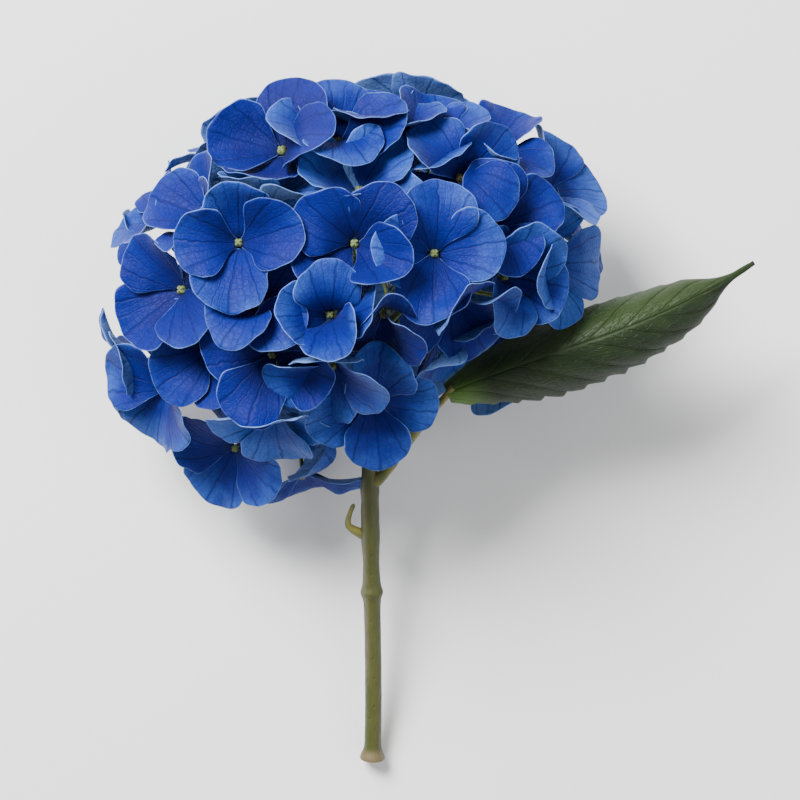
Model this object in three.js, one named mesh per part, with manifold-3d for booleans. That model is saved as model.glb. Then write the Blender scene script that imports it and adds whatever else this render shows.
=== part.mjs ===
// A cut mophead hydrangea, laid on its side on a table.
// Millimetres, +Z up from the table, +Y towards the crown of the head, +X across it.
// The head is a shell of four-sepalled florets on thin stalks, which branch from the top of
// one stem. The florets open against each other in settle(), so that none cuts another.
import * as THREE from "three";
import { mergeVertices } from "three/addons/utils/BufferGeometryUtils.js";
import Module from "manifold-3d";

const wasm = await Module();
wasm.setup();

// ---------------------------------------------------------------- driving dimensions, in mm
// The head's centre is the middle of its width and height: x and y below are taken from it.
const HEAD = {
  halfWidth: 77, // the florets' eyes lie on an ellipsoid with these half axes
  halfHeight: 61,
  halfDepth: 49,
  centreAboveTable: 56,
};
const SEPAL = { length: 26.5, width: 25.5, thickness: 0.9 };
const EYE = { radius: 1.9, height: 3.2 }; // the small closed flower in the middle of a floret
const CLAW = { width: 2.2, start: 1.6 }; // where a sepal leaves the eye
const PEDICEL = { radius: 0.8, baseRadius: 1.1, arrival: 11 };
const RAY = { radius: 1.9, tipRadius: 1.5, reach: 0.42, count: 6 };
const STEM = {
  radius: 3,
  cutRadius: 4.7, // the foot is swollen where it was cut
  drop: 192, // from the head's centre down to the cut, along Y
  topY: -24, // where the rays begin
  x: 5.2,
};
const LEAF = {
  length: 125,
  width: 46,
  thickness: 0.9,
  base: [34, -46, 62], // x and y from the head's centre, and the height above the table
  heading: 23, // degrees, from +X towards +Y
  climb: 0.08,
  arch: 10, // how far the midrib bows up
  bow: 7, // how far the midrib bends aside before the tip turns up
  upperSlope: 56, // degrees that each half hangs from the midrib
  lowerSlope: 44,
  teeth: 9,
};
const PETIOLE = { radius: 1.6, sheathRadius: 2.6, nodeY: -82 };
const SHOOT = { radius: 1.25, nodeY: -101, reach: 6, height: 12 };
const CLEARANCE = 0.3; // between pieces that meet
const SLIVER = 0.02; // the least detail that a cut piece keeps

// ---------------------------------------------------------------- the florets in front
// Each row is a floret's eye from the head's centre (x, y), its lift off the ellipsoid, the
// way that it faces (x, y, z), the bearing of its first sepal, its size and how far it has
// opened, from 0 for upright sepals to 1 for flat ones.
const FRONT_FLORETS = [
  [29, 4, 4, [0.2, 0, 1], 92, 1.02, 0.589],
  [1, 9, 3, [-0.05, 0.1, 1], 140, 1.02, 0.546],
  [1, 27, -1, [0, 0.45, 0.9], 62, 1.06, 0.633],
  [38, 32, 1, [0.15, 0.4, 0.9], 135, 1.0, 0.633],
  [50, 13, 0, [0.35, 0.15, 0.9], 105, 1.0, 0.589],
  [68, 27, -2, [0.55, 0.5, 0.6], 80, 1.06, 0.666],
  [69, 3, -4, [0.75, 0, 0.6], 5, 1.0, 0.666],
  [52, -2, -3, [0.5, -0.1, 0.8], 70, 0.98, 0.47],
  [64, -12, -32, [0.85, -0.35, 0.05], 20, 1.0, 0.633],
  [34, -7, 2, [0.35, -0.7, 0.45], 20, 1.0, 0.546],
  [32, -22, -12, [0.5, -0.75, 0.2], -40, 0.97, 0.546],
  [5, -47, -4, [0.05, -0.5, 0.85], -86, 1.02, 0.589],
  [10, -14, 5, [-0.25, -0.75, 0.5], 195, 1.0, 0.513],
  [-7, -33, 3, [-0.2, -0.75, 0.5], 190, 1.0, 0.513],
  [-8, -18, 6, [0, 0.1, 1], 100, 0.95, 0.306],
  [-33, -16, 6, [-0.1, 0.15, 1], 55, 0.98, 0.393],
  [-42, 9, 5, [-0.1, 0.15, 1], 185, 1.02, 0.589],
  [-63, -8, 3, [-0.45, 0, 0.9], 135, 1.05, 0.633],
  [-49, 15, 0, [-0.6, 0.5, 0.6], 155, 1.0, 0.47],
  [-33, 21, 3, [-0.05, 0.85, 0.3], 75, 0.95, 0.513],
  [-24, 39, -1, [-0.3, 0.5, 0.8], 165, 1.08, 0.666],
  [-6, 42, -1, [0, 0.65, 0.65], 100, 1.1, 0.546],
  [11, 46, -3, [0.05, 0.85, 0.4], 80, 1.0, 0.546],
  [28, 42, -3, [0.05, 0.7, 0.65], 100, 1.0, 0.589],
  [49, 41, -3, [0.35, 0.7, 0.55], 55, 1.0, 0.589],
  [-30, -31, 3, [-0.15, -0.35, 0.9], -112, 1.05, 0.633],
  [-53, -30, -2, [-0.45, -0.2, 0.85], 215, 0.95, 0.47],
  [-70, -42, -2, [-0.7, -0.35, 0.5], 165, 1.03, 0.633],
  [-31, -50, 1, [-0.1, -0.8, 0.35], -95, 1.0, 0.589],
  [-46, -66, -12, [-0.35, -0.5, 0.75], -30, 1.03, 0.633],
  [-22, -75, -26, [0.1, -0.95, 0.2], 28, 1.0, 0.633],
  [-77, -2, -8, [-0.9, 0.1, 0.2], 100, 1.0, 0.633],
  [-80, -33, -12, [-0.9, -0.3, 0.05], 70, 0.95, 0.589],
  [-69, 19, -8, [-0.8, 0.5, 0.2], 140, 1.0, 0.633],
  [-45, 40, -10, [-0.55, 0.8, 0.1], 120, 1.0, 0.633],
  [74, 18, -16, [0.85, 0.3, 0.2], 85, 0.95, 0.633],
];
// The florets behind and below follow a spiral over the far side of the head.
const BACK = { count: 12, size: 1.05, openness: 0.7, jitter: 0.25, apart: 38 };
// No floret hangs below this height on the leaf's side of the head.
const LEAF_LANE = { fromX: -8, lowestY: -26 };

// ---------------------------------------------------------------- how the head settles
const GRID = 7; // a sepal is a net of GRID by GRID points while it settles
const SETTLE = {
  steps: 240,
  openingSteps: 130, // the florets open while they push each other aside
  easeFrom: 150, // after this the goals let go and only the spacing works
  goalPull: 0.05,
  spacing: 4.1, // between points of two florets
  siblingSpacing: 4, // between two sepals of one floret
  stalkSpacing: 3.3,
  eyeDrift: 0.12,
  eyeTether: 0.04,
};

const v3 = (x, y, z) => new THREE.Vector3(x, y, z);
const radians = THREE.MathUtils.degToRad;

// A repeatable stream of numbers from 0 to 1.
function randomStream(seed) {
  let state = seed >>> 0;
  return () => {
    state = (state + 0x6d2b79f5) >>> 0;
    let t = Math.imul(state ^ (state >>> 15), 1 | state);
    t = (t + Math.imul(t ^ (t >>> 7), 61 | t)) ^ t;
    return ((t ^ (t >>> 14)) >>> 0) / 4294967296;
  };
}

// ---------------------------------------------------------------- solids
// A three.js geometry as a manifold-3d solid.
function solidFrom(geometry) {
  const bare = geometry.index ? geometry.toNonIndexed() : geometry.clone();
  const positions = new THREE.BufferGeometry();
  positions.setAttribute("position", bare.getAttribute("position"));
  const merged = mergeVertices(positions, 1e-4);
  return new wasm.Manifold(
    new wasm.Mesh({
      numProp: 3,
      vertProperties: merged.attributes.position.array,
      triVerts: new Uint32Array(merged.index.array),
    }),
  );
}

// A manifold-3d solid as a three.js geometry.
function geometryFrom(solid) {
  const mesh = solid.getMesh();
  const geometry = new THREE.BufferGeometry();
  const positions = new Float32Array(mesh.vertProperties);
  geometry.setAttribute("position", new THREE.BufferAttribute(positions, 3));
  geometry.setIndex(new THREE.BufferAttribute(new Uint32Array(mesh.triVerts), 1));
  geometry.computeVertexNormals();
  return geometry;
}

// A net of points, rows[along][across], moved to this height off its own surface.
function raised(rows, height) {
  const last = rows.length - 1;
  const edge = rows[0].length - 1;
  return rows.map((row, i) =>
    row.map((p, j) => {
      const along = rows[Math.min(i + 1, last)][j].clone().sub(rows[Math.max(i - 1, 0)][j]);
      const across = row[Math.min(j + 1, edge)].clone().sub(row[Math.max(j - 1, 0)]);
      return p.clone().addScaledVector(along.cross(across).normalize(), height);
    }),
  );
}

// Collects the faces of a closed body; each point is kept once, in the order it is met.
class FaceSet {
  constructor() {
    this.points = [];
    this.triangles = [];
    this.indices = new Map();
  }

  indexOf(point) {
    if (!this.indices.has(point)) {
      this.indices.set(point, this.points.length);
      this.points.push(point);
    }
    return this.indices.get(point);
  }

  // A fan over the corners of one face, which run anticlockwise seen from outside.
  face(...corners) {
    const [first, ...rest] = corners.map((corner) => this.indexOf(corner));
    for (let k = 0; k + 1 < rest.length; k++) {
      this.triangles.push([first, rest[k], rest[k + 1]]);
    }
  }

  // The top, the underside and the rim of a net; the rim of its first row is optional.
  shell(top, under, closeFirstRow) {
    const last = top.length - 1;
    const edge = top[0].length - 1;
    for (let i = 0; i < last; i++) {
      for (let j = 0; j < edge; j++) {
        this.face(top[i][j], top[i + 1][j], top[i + 1][j + 1], top[i][j + 1]);
        this.face(under[i][j], under[i][j + 1], under[i + 1][j + 1], under[i + 1][j]);
      }
      this.face(top[i][0], under[i][0], under[i + 1][0], top[i + 1][0]);
      this.face(top[i][edge], top[i + 1][edge], under[i + 1][edge], under[i][edge]);
    }
    for (let j = 0; j < edge; j++) {
      this.face(top[last][j], under[last][j], under[last][j + 1], top[last][j + 1]);
      if (closeFirstRow) this.face(top[0][j], top[0][j + 1], under[0][j + 1], under[0][j]);
    }
  }

  // The sides between rings of as many points each, and a flat end on the last one.
  tube(rings) {
    const sides = rings[0].length;
    for (let i = 0; i + 1 < rings.length; i++) {
      for (let k = 0; k < sides; k++) {
        const next = (k + 1) % sides;
        this.face(rings[i][k], rings[i][next], rings[i + 1][next], rings[i + 1][k]);
      }
    }
    this.face(...rings[rings.length - 1]);
  }

  geometry() {
    const geometry = new THREE.BufferGeometry().setFromPoints(this.points);
    geometry.setIndex(this.triangles.flat());
    return geometry;
  }
}

// A closed shell around a net of points, thickened both ways.
function shellGeometry(rows, thickness) {
  const faces = new FaceSet();
  faces.shell(raised(rows, thickness / 2), raised(rows, -thickness / 2), true);
  return faces.geometry();
}

// Rings of points round a path, with a radius at each point; the first points along `start`.
function ringsAlong(path, radii, sides, start) {
  let side = start.clone();
  return path.map((p, i) => {
    const ahead = path[Math.min(i + 1, path.length - 1)];
    const behind = path[Math.max(i - 1, 0)];
    const along = ahead.clone().sub(behind).normalize();
    side = side.clone().addScaledVector(along, -side.dot(along)).normalize();
    const other = along.clone().cross(side);
    return Array.from({ length: sides }, (_, k) => {
      const angle = (2 * Math.PI * k) / sides;
      const out = side.clone().multiplyScalar(Math.cos(angle));
      out.addScaledVector(other, Math.sin(angle));
      return p.clone().addScaledVector(out, radii[i]);
    });
  });
}

// A closed round bar through the points, with a radius at each and flat ends.
function barGeometry(path, radii, sides, start = v3(0, 0, 1)) {
  const rings = ringsAlong(path, radii, sides, start);
  const faces = new FaceSet();
  faces.tube(rings);
  faces.face(...[...rings[0]].reverse());
  return faces.geometry();
}

// ---------------------------------------------------------------- the stem and what leaves it
const stemSlope = (HEAD.centreAboveTable - STEM.cutRadius) / (STEM.drop + STEM.topY);

// The point of the stem's axis at this distance along Y from the head's centre.
function stemPoint(y) {
  const up = (y + STEM.drop) / (STEM.drop + STEM.topY);
  const sway = 0.7 * Math.sin(up * Math.PI * 2.4);
  return v3(STEM.x + sway, y, STEM.cutRadius + stemSlope * (y + STEM.drop));
}

function stemGeometry() {
  // How far along Y each swelling is, how much it stands out and how long it is.
  const swellings = [
    [-0.64 * STEM.drop, 1.0, 4],
    [SHOOT.nodeY - 3, 0.9, 14],
    [PETIOLE.nodeY, 0.8, 7],
  ];
  const path = [];
  const radii = [];
  const rings = 24;
  for (let i = 0; i <= rings; i++) {
    const t = i / rings;
    const y = -STEM.drop + t * (STEM.drop + STEM.topY);
    const foot = (STEM.cutRadius - STEM.radius) * Math.exp(-(y + STEM.drop) / 5);
    const swelling = swellings.reduce(
      (sum, [at, rise, long]) => sum + rise * Math.exp(-(((y - at) / long) ** 2)),
      0,
    );
    path.push(stemPoint(y));
    radii.push(STEM.radius + foot + swelling - 0.3 * t);
  }
  return barGeometry(path, radii, 12);
}

// The hooked stub of a side shoot: out of the stem, then up beside it.
function shootGeometry() {
  const node = stemPoint(SHOOT.nodeY);
  const start = node.clone().add(v3(-(STEM.radius + 1 + CLEARANCE), 0, 0.5));
  const curve = new THREE.CatmullRomCurve3([
    start,
    start.clone().add(v3(-SHOOT.reach * 0.55, 1.5, 0.6)),
    start.clone().add(v3(-SHOOT.reach * 0.75, 5, 1)),
    start.clone().add(v3(-SHOOT.reach * 0.55, 9, 1.4)),
    start.clone().add(v3(-SHOOT.reach * 0.25, SHOOT.height, 1.8)),
  ]);
  const path = curve.getPoints(8);
  const radii = path.map((_, i) => SHOOT.radius * (1.25 - 0.85 * (i / 8)));
  return barGeometry(path, radii, 7);
}

const leafHeading = v3(
  Math.cos(radians(LEAF.heading)),
  Math.sin(radians(LEAF.heading)),
  LEAF.climb,
).normalize();
const leafAcross = leafHeading.clone().cross(v3(0, 0, 1)).normalize();
const leafUp = leafAcross.clone().cross(leafHeading);
const leafBase = v3(...LEAF.base);

// A point of the leaf's middle surface: t runs from base to tip, u from one margin to the other.
function leafPoint(t, u) {
  const broad = Math.sin(Math.PI * (0.03 + 0.96 * t) ** 0.82) ** 0.85;
  const tooth = 1 - 0.06 * Math.abs(((t * LEAF.teeth) % 1) - 0.5) * 2;
  const drawnOut = 1 - 0.72 * THREE.MathUtils.smoothstep(t, 0.78, 0.95);
  const half = (LEAF.width / 2) * (0.04 + 0.96 * broad * drawnOut) * tooth;
  const slope = radians(u < 0 ? LEAF.upperSlope : LEAF.lowerSlope) * (0.35 + 0.65 * Math.abs(u));
  const arch = LEAF.arch * Math.sin(Math.PI * t);
  const bow = LEAF.bow * t * Math.sin(Math.PI * t);
  return leafBase
    .clone()
    .addScaledVector(leafHeading, LEAF.length * t)
    .addScaledVector(leafAcross, bow + half * u * Math.cos(slope))
    .addScaledVector(leafUp, arch - half * Math.abs(u) * Math.sin(slope));
}

function leafGeometry() {
  const rows = [];
  const along = 14;
  for (let i = 0; i <= along; i++) {
    const row = [];
    for (let j = -3; j <= 3; j++) row.push(leafPoint(i / along, j / 3));
    rows.push(row);
  }
  return shellGeometry(rows, LEAF.thickness);
}

function petiolePath() {
  const node = stemPoint(PETIOLE.nodeY);
  const start = node.clone().add(v3(STEM.radius + 2.6, 1, 1));
  const end = leafBase.clone().addScaledVector(leafHeading, -CLEARANCE - 1.2);
  const curve = new THREE.CatmullRomCurve3([
    start,
    start.clone().lerp(end, 0.3).add(v3(-1.5, 1.5, 0)),
    start.clone().lerp(end, 0.65).add(v3(-0.5, 0.5, 1)),
    end,
  ]);
  return curve.getPoints(10);
}

function petioleGeometry() {
  const radii = [1.1, 1, 1, 1.45, 1.6, 1.5, 1.2, 1, 0.95, 0.9, 0.8];
  return barGeometry(
    petiolePath(),
    radii.map((share) => share * PETIOLE.radius),
    8,
  );
}

// ---------------------------------------------------------------- the florets before settling
const headPoint = (x, y, z) => v3(x, y, z + HEAD.centreAboveTable);

function ellipsoidHeight(x, y) {
  const inside = 1 - (x / HEAD.halfWidth) ** 2 - (y / HEAD.halfHeight) ** 2;
  return HEAD.halfDepth * Math.sqrt(Math.max(0, inside));
}

function frontFlorets() {
  return FRONT_FLORETS.map(([x, y, lift, facing, bearing, size, openness]) => ({
    home: headPoint(x, y, ellipsoidHeight(x, y) + lift),
    facing: v3(...facing).normalize(),
    bearing: radians(bearing),
    size,
    openness,
  }));
}

// Draws a point that lies this way from the head's centre onto the ellipsoid of the eyes.
function onEllipsoid(out) {
  const stretched = v3(out.x / HEAD.halfWidth, out.y / HEAD.halfHeight, out.z / HEAD.halfDepth);
  return out.clone().divideScalar(stretched.length());
}

function backFlorets(front, random) {
  const golden = Math.PI * (3 - Math.sqrt(5));
  const centre = headPoint(0, 0, 0);
  const homes = [];
  for (let k = 0; k < BACK.count; k++) {
    const down = -0.1 - (0.9 * (k + 0.35)) / BACK.count;
    const ring = Math.sqrt(1 - down * down);
    const out = v3(ring * Math.cos(golden * k), ring * Math.sin(golden * k), down);
    homes.push(onEllipsoid(out.multiply(v3(1, 1, 0.8))));
  }
  // They move apart over the ellipsoid, and away from the florets in front.
  const others = front.map(({ home }) => home.clone().sub(centre));
  for (let round = 0; round < 60; round++) {
    for (const home of homes) {
      for (const other of [...others, ...homes]) {
        const gap = home.distanceTo(other);
        if (other === home || gap > BACK.apart) continue;
        home.addScaledVector(home.clone().sub(other), (0.3 * (BACK.apart - gap)) / gap);
      }
      home.z = Math.min(home.z, -0.05 * HEAD.halfDepth);
      if (home.x > LEAF_LANE.fromX) home.y = Math.max(home.y, LEAF_LANE.lowestY);
      home.copy(onEllipsoid(home));
    }
  }
  return homes.map((home) => {
    const square = v3(HEAD.halfWidth ** -2, HEAD.halfHeight ** -2, HEAD.halfDepth ** -2);
    const wobble = v3(random() - 0.5, random() - 0.5, random() - 0.5);
    const facing = home.clone().multiply(square).normalize();
    return {
      home: home.clone().multiplyScalar(0.95).add(centre),
      facing: facing.addScaledVector(wobble, BACK.jitter).normalize(),
      bearing: 2 * Math.PI * random(),
      size: BACK.size + 0.1 * random(),
      openness: BACK.openness,
    };
  });
}

// The rays spread inside the head from around the top of the stem.
function makeRays() {
  const hub = stemPoint(STEM.topY);
  const rays = [];
  for (let k = 0; k < RAY.count; k++) {
    const angle = (2 * Math.PI * k) / RAY.count + 0.5;
    const tip = headPoint(
      HEAD.halfWidth * RAY.reach * Math.cos(angle),
      8 + HEAD.halfHeight * 0.22 * Math.sin(2 * angle),
      HEAD.halfDepth * RAY.reach * Math.sin(angle),
    );
    const along = tip.clone().sub(hub).normalize();
    rays.push({ hub, tip, start: hub.clone().addScaledVector(along, 6) });
  }
  return rays;
}

// Gives each floret the nearest ray, and a place for its stalk beside the ray's tip.
function joinToRays(florets, rays) {
  for (const ray of rays) ray.florets = [];
  for (const floret of florets) {
    const distance = (ray) => ray.tip.distanceTo(floret.home);
    const ray = rays.reduce((best, one) => (distance(one) < distance(best) ? one : best));
    ray.florets.push(floret);
    floret.ray = ray;
  }
  for (const ray of rays) {
    const spread = RAY.tipRadius + PEDICEL.baseRadius + CLEARANCE + ray.florets.length * 0.4;
    for (const floret of ray.florets) {
      const out = floret.home.clone().sub(ray.tip).normalize();
      floret.root = ray.tip.clone().addScaledVector(out, spread);
    }
  }
}

// The net of a sepal in its floret's own frame: its midline starts along +X and lifts along +Z.
function sepalNet(size, rise, curl, cup, skew) {
  const rows = [];
  const last = GRID - 1;
  let reach = CLAW.start;
  let height = 0;
  const stepLength = (SEPAL.length * size - reach) / last;
  for (let i = 0; i < GRID; i++) {
    const t = i / last;
    const slope = rise + curl * t;
    const broad = Math.sin(Math.PI * 0.84 * t) ** 1.15;
    const half = THREE.MathUtils.lerp(CLAW.width, SEPAL.width * size, broad) / 2;
    const row = [];
    for (let j = 0; j < GRID; j++) {
      const u = (2 * j) / last - 1;
      const back = 0.3 * half * u * u * t * t;
      const lift = cup * half * u * u + 0.12 * half * skew * u * t;
      row.push(
        v3(
          reach - back * Math.cos(slope) - lift * Math.sin(slope),
          u * half,
          height - back * Math.sin(slope) + lift * Math.cos(slope),
        ),
      );
    }
    rows.push(row);
    reach += stepLength * Math.cos(slope);
    height += stepLength * Math.sin(slope);
  }
  return rows;
}

// Gives each floret its frame, four sepals with small differences, and points to settle.
function prepareFloret(floret, random) {
  const bearing = v3(Math.cos(floret.bearing), Math.sin(floret.bearing), 0);
  bearing.addScaledVector(floret.facing, -bearing.dot(floret.facing));
  if (bearing.length() < 0.2) bearing.set(0, 0, 1).addScaledVector(floret.facing, -floret.facing.z);
  bearing.normalize();
  floret.basis = new THREE.Matrix4().makeBasis(
    bearing,
    floret.facing.clone().cross(bearing),
    floret.facing,
  );
  floret.eye = floret.home.clone();
  floret.sepals = [0, 1, 2, 3].map((k) => ({
    turn: (k * Math.PI) / 2 + 0.3 * (random() - 0.5),
    rise: radians(62 - 58 * floret.openness + 10 * (random() - 0.5)),
    curl: radians(-26 + 40 * (random() - 0.5)),
    cup: 0.1 + 0.22 * (random() - 0.35),
    skew: random() - 0.5,
    size: floret.size * (0.94 + 0.12 * random()),
    tuck: k % 2 === 0 ? 0.4 : -0.8, // alternate sepals start a little lower
  }));
}

// Where each point of a floret wants to be when it has opened this far, from 0 to 1.
function sepalGoals(floret, opened) {
  return floret.sepals.map((sepal) => {
    const rise = THREE.MathUtils.lerp(radians(84), sepal.rise, opened);
    const net = sepalNet(sepal.size, rise, sepal.curl * opened, sepal.cup, sepal.skew);
    const turn = new THREE.Matrix4().makeRotationZ(sepal.turn);
    const place = new THREE.Matrix4().makeTranslation(floret.eye.x, floret.eye.y, floret.eye.z);
    place.multiply(floret.basis).multiply(turn);
    return net.map((row) => row.map((p) => v3(p.x, p.y, p.z + sepal.tuck).applyMatrix4(place)));
  });
}

// The line of a floret's stalk, from beside the tip of its ray up into its eye.
function pedicelPath(floret, steps) {
  const end = floret.eye.clone().addScaledVector(floret.facing, -0.55 * EYE.height);
  const handle = end.clone().addScaledVector(floret.facing, -PEDICEL.arrival);
  return new THREE.QuadraticBezierCurve3(floret.root, handle, end).getPoints(steps);
}

// ---------------------------------------------------------------- settling
// Points that stay where they are, each with how clear the sepals keep of it.
function obstacles(rays) {
  const made = [];
  const add = (at, clear) => made.push({ at, clear, floret: -1, sepal: -1, pinned: true });
  for (let y = -STEM.drop; y <= STEM.topY; y += 2) add(stemPoint(y), STEM.radius + 2);
  petiolePath().forEach((at) => add(at, PETIOLE.sheathRadius + 1.8));
  for (let t = 0; t <= 1; t += 0.025) {
    for (let u = -1; u <= 1; u += 0.2) add(leafPoint(t, u), SETTLE.spacing);
  }
  for (const { hub, tip } of rays) {
    for (let t = 0; t <= 1; t += 0.05) add(hub.clone().lerp(tip, t), RAY.radius + 1.8);
  }
  return made;
}

// Pushes two points apart until they are this far from each other.
function partPoints(a, b, clear) {
  const dx = b.at.x - a.at.x;
  const dy = b.at.y - a.at.y;
  const dz = b.at.z - a.at.z;
  const square = dx * dx + dy * dy + dz * dz;
  if (square >= clear * clear || square < 1e-9) return;
  const gap = Math.sqrt(square);
  const share = a.pinned || b.pinned ? 1 : 0.5;
  const push = (share * (clear - gap)) / gap;
  if (!a.pinned) a.at.set(a.at.x - dx * push, a.at.y - dy * push, a.at.z - dz * push);
  if (!b.pinned) b.at.set(b.at.x + dx * push, b.at.y + dy * push, b.at.z + dz * push);
}

// How far two points keep from each other, or 0 where they may touch.
function spacingOf(a, b) {
  if (a.pinned && b.pinned) return 0;
  if (a.pinned || b.pinned) {
    if (a.floret === b.floret) return 0;
    return (a.pinned ? a : b).clear;
  }
  if (a.floret !== b.floret) return SETTLE.spacing;
  return a.sepal === b.sepal ? 0 : SETTLE.siblingSpacing;
}

// Visits every pair of points closer than one cell, by sorting them into cubes.
function partNeighbours(points) {
  const size = Math.max(SETTLE.spacing, STEM.radius + 2);
  const cubes = new Map();
  const keyOf = (i, j, k) => ((i + 128) * 256 + (j + 128)) * 256 + (k + 128);
  for (const point of points) {
    point.cube = [point.at.x, point.at.y, point.at.z].map((c) => Math.floor(c / size));
    const key = keyOf(...point.cube);
    if (cubes.has(key)) cubes.get(key).push(point);
    else cubes.set(key, [point]);
  }
  const ahead = [];
  for (let i = -1; i <= 1; i++) {
    for (let j = -1; j <= 1; j++) {
      for (let k = -1; k <= 1; k++) if (i * 9 + j * 3 + k > 0) ahead.push([i, j, k]);
    }
  }
  for (const members of cubes.values()) {
    const [i, j, k] = members[0].cube;
    members.forEach((a, m) => {
      for (let n = m + 1; n < members.length; n++) {
        partPoints(a, members[n], spacingOf(a, members[n]));
      }
    });
    for (const [di, dj, dk] of ahead) {
      const others = cubes.get(keyOf(i + di, j + dj, k + dk));
      if (!others) continue;
      for (const a of members) {
        for (const b of others) partPoints(a, b, spacingOf(a, b));
      }
    }
  }
}

// The pairs of points in a net that hold it in shape, with the distance that each keeps.
function netLinks(goals, net) {
  const links = [];
  const reaches = [[1, 0], [0, 1], [1, 1], [1, -1], [2, 0], [0, 2], [3, 0], [0, 3]];
  for (let i = 0; i < GRID; i++) {
    for (let j = 0; j < GRID; j++) {
      for (const [di, dj] of reaches) {
        const [k, l] = [i + di, j + dj];
        if (k >= GRID || l >= GRID || l < 0) continue;
        const rest = goals[i][j].distanceTo(goals[k][l]);
        links.push({ a: net[i][j], b: net[k][l], rest, fixed: i === 0 });
      }
    }
  }
  return links;
}

function holdLinks(links) {
  for (const { a, b, rest, fixed } of links) {
    const dx = b.x - a.x;
    const dy = b.y - a.y;
    const dz = b.z - a.z;
    const gap = Math.sqrt(dx * dx + dy * dy + dz * dz);
    const pull = (gap - rest) / Math.max(gap, 1e-6);
    const near = fixed ? 0 : 0.5 * pull;
    const far = pull - near;
    a.set(a.x + dx * near, a.y + dy * near, a.z + dz * near);
    b.set(b.x - dx * far, b.y - dy * far, b.z - dz * far);
  }
}

// Draws a floret's sepals towards their goals, and its eye after its sepals.
function drawToGoals(floret, opened, pull) {
  const goals = sepalGoals(floret, opened);
  const drift = v3(0, 0, 0);
  floret.nets.forEach((net, s) =>
    net.forEach((row, i) =>
      row.forEach((p, j) => {
        const goal = goals[s][i][j];
        drift.add(p).sub(goal);
        p.lerp(goal, i === 0 ? 1 : pull);
      }),
    ),
  );
  drift.divideScalar(4 * GRID * GRID);
  floret.eye.addScaledVector(drift, SETTLE.eyeDrift);
  floret.eye.lerp(floret.home, SETTLE.eyeTether);
  floret.eye.z = Math.max(floret.eye.z, SEPAL.thickness + EYE.height);
}

// Lifts the points of a floret that would sink into the table.
function keepOffTable(floret) {
  const least = SEPAL.thickness / 2 + 0.1;
  for (const p of floret.nets.flat(2)) p.z = Math.max(p.z, least);
}

// Opens all the florets at once, while they push each other aside.
function settle(florets, rays) {
  const fixed = obstacles(rays);
  florets.forEach((floret, f) => {
    floret.nets = sepalGoals(floret, 0);
    const goals = sepalGoals(floret, 1);
    floret.links = floret.nets.flatMap((net, s) => netLinks(goals[s], net));
    floret.points = floret.nets.flatMap((net, s) =>
      net.slice(1).flatMap((row) => row.map((at) => ({ at, floret: f, sepal: s }))),
    );
  });
  const moving = florets.flatMap(({ points }) => points);
  for (let step = 0; step < SETTLE.steps; step++) {
    const opened = Math.min(1, step / SETTLE.openingSteps);
    const ease = Math.max(0, (step - SETTLE.easeFrom) / (SETTLE.steps - SETTLE.easeFrom));
    const pull = SETTLE.goalPull * (1 - ease) ** 2;
    const stalks = florets.flatMap((floret, f) => {
      drawToGoals(floret, opened, pull);
      return pedicelPath(floret, 8)
        .slice(3, 9)
        .map((at) => ({ at, floret: f, sepal: -1, pinned: true, clear: SETTLE.stalkSpacing }));
    });
    partNeighbours([...moving, ...fixed, ...stalks]);
    for (const floret of florets) {
      holdLinks(floret.links);
      keepOffTable(floret);
    }
    if (ease > 0) partNeighbours([...moving, ...fixed, ...stalks]);
  }
}

// ---------------------------------------------------------------- florets and rays as solids
// The rows and columns of a settled net that the solid keeps, grown about their middle.
function coarseNet(net, grow) {
  const rows = [0, 2, 4, 6].map((i) => [0, 3, 6].map((j) => net[i][j].clone()));
  const middle = net[3][3];
  const scale = 1 + grow / (SEPAL.width / 2);
  rows.slice(1).flat().forEach((p) => p.sub(middle).multiplyScalar(scale).add(middle));
  return rows;
}

// Stacks the sepals of a floret where they lap: the tucked ones pass under their neighbours.
function stackSepals(floret) {
  const clear = SEPAL.thickness + CLEARANCE;
  for (let round = 0; round < 12; round++) {
    for (const [over, under] of [[0, 1], [2, 1], [2, 3], [0, 3]]) {
      const net = floret.nets[over];
      const off = raised(net, 1);
      for (const p of floret.nets[under].slice(1).flat()) {
        let [nearest, least] = [null, 6];
        net.forEach((row, i) =>
          row.forEach((q, j) => {
            const gap = p.distanceTo(q);
            if (gap < least) [nearest, least] = [[i, j], gap];
          }),
        );
        if (!nearest) continue;
        const q = net[nearest[0]][nearest[1]];
        const normal = off[nearest[0]][nearest[1]].clone().sub(q);
        const height = p.clone().sub(q).dot(normal);
        const aside = Math.sqrt(Math.max(0, least * least - height * height));
        if (height < -clear || aside > 4) continue;
        p.addScaledVector(normal, -0.5 * (height + clear));
        if (nearest[0] > 0) q.addScaledVector(normal, 0.25 * (height + clear));
      }
    }
    holdLinks(floret.links);
    keepOffTable(floret);
  }
}

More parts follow.
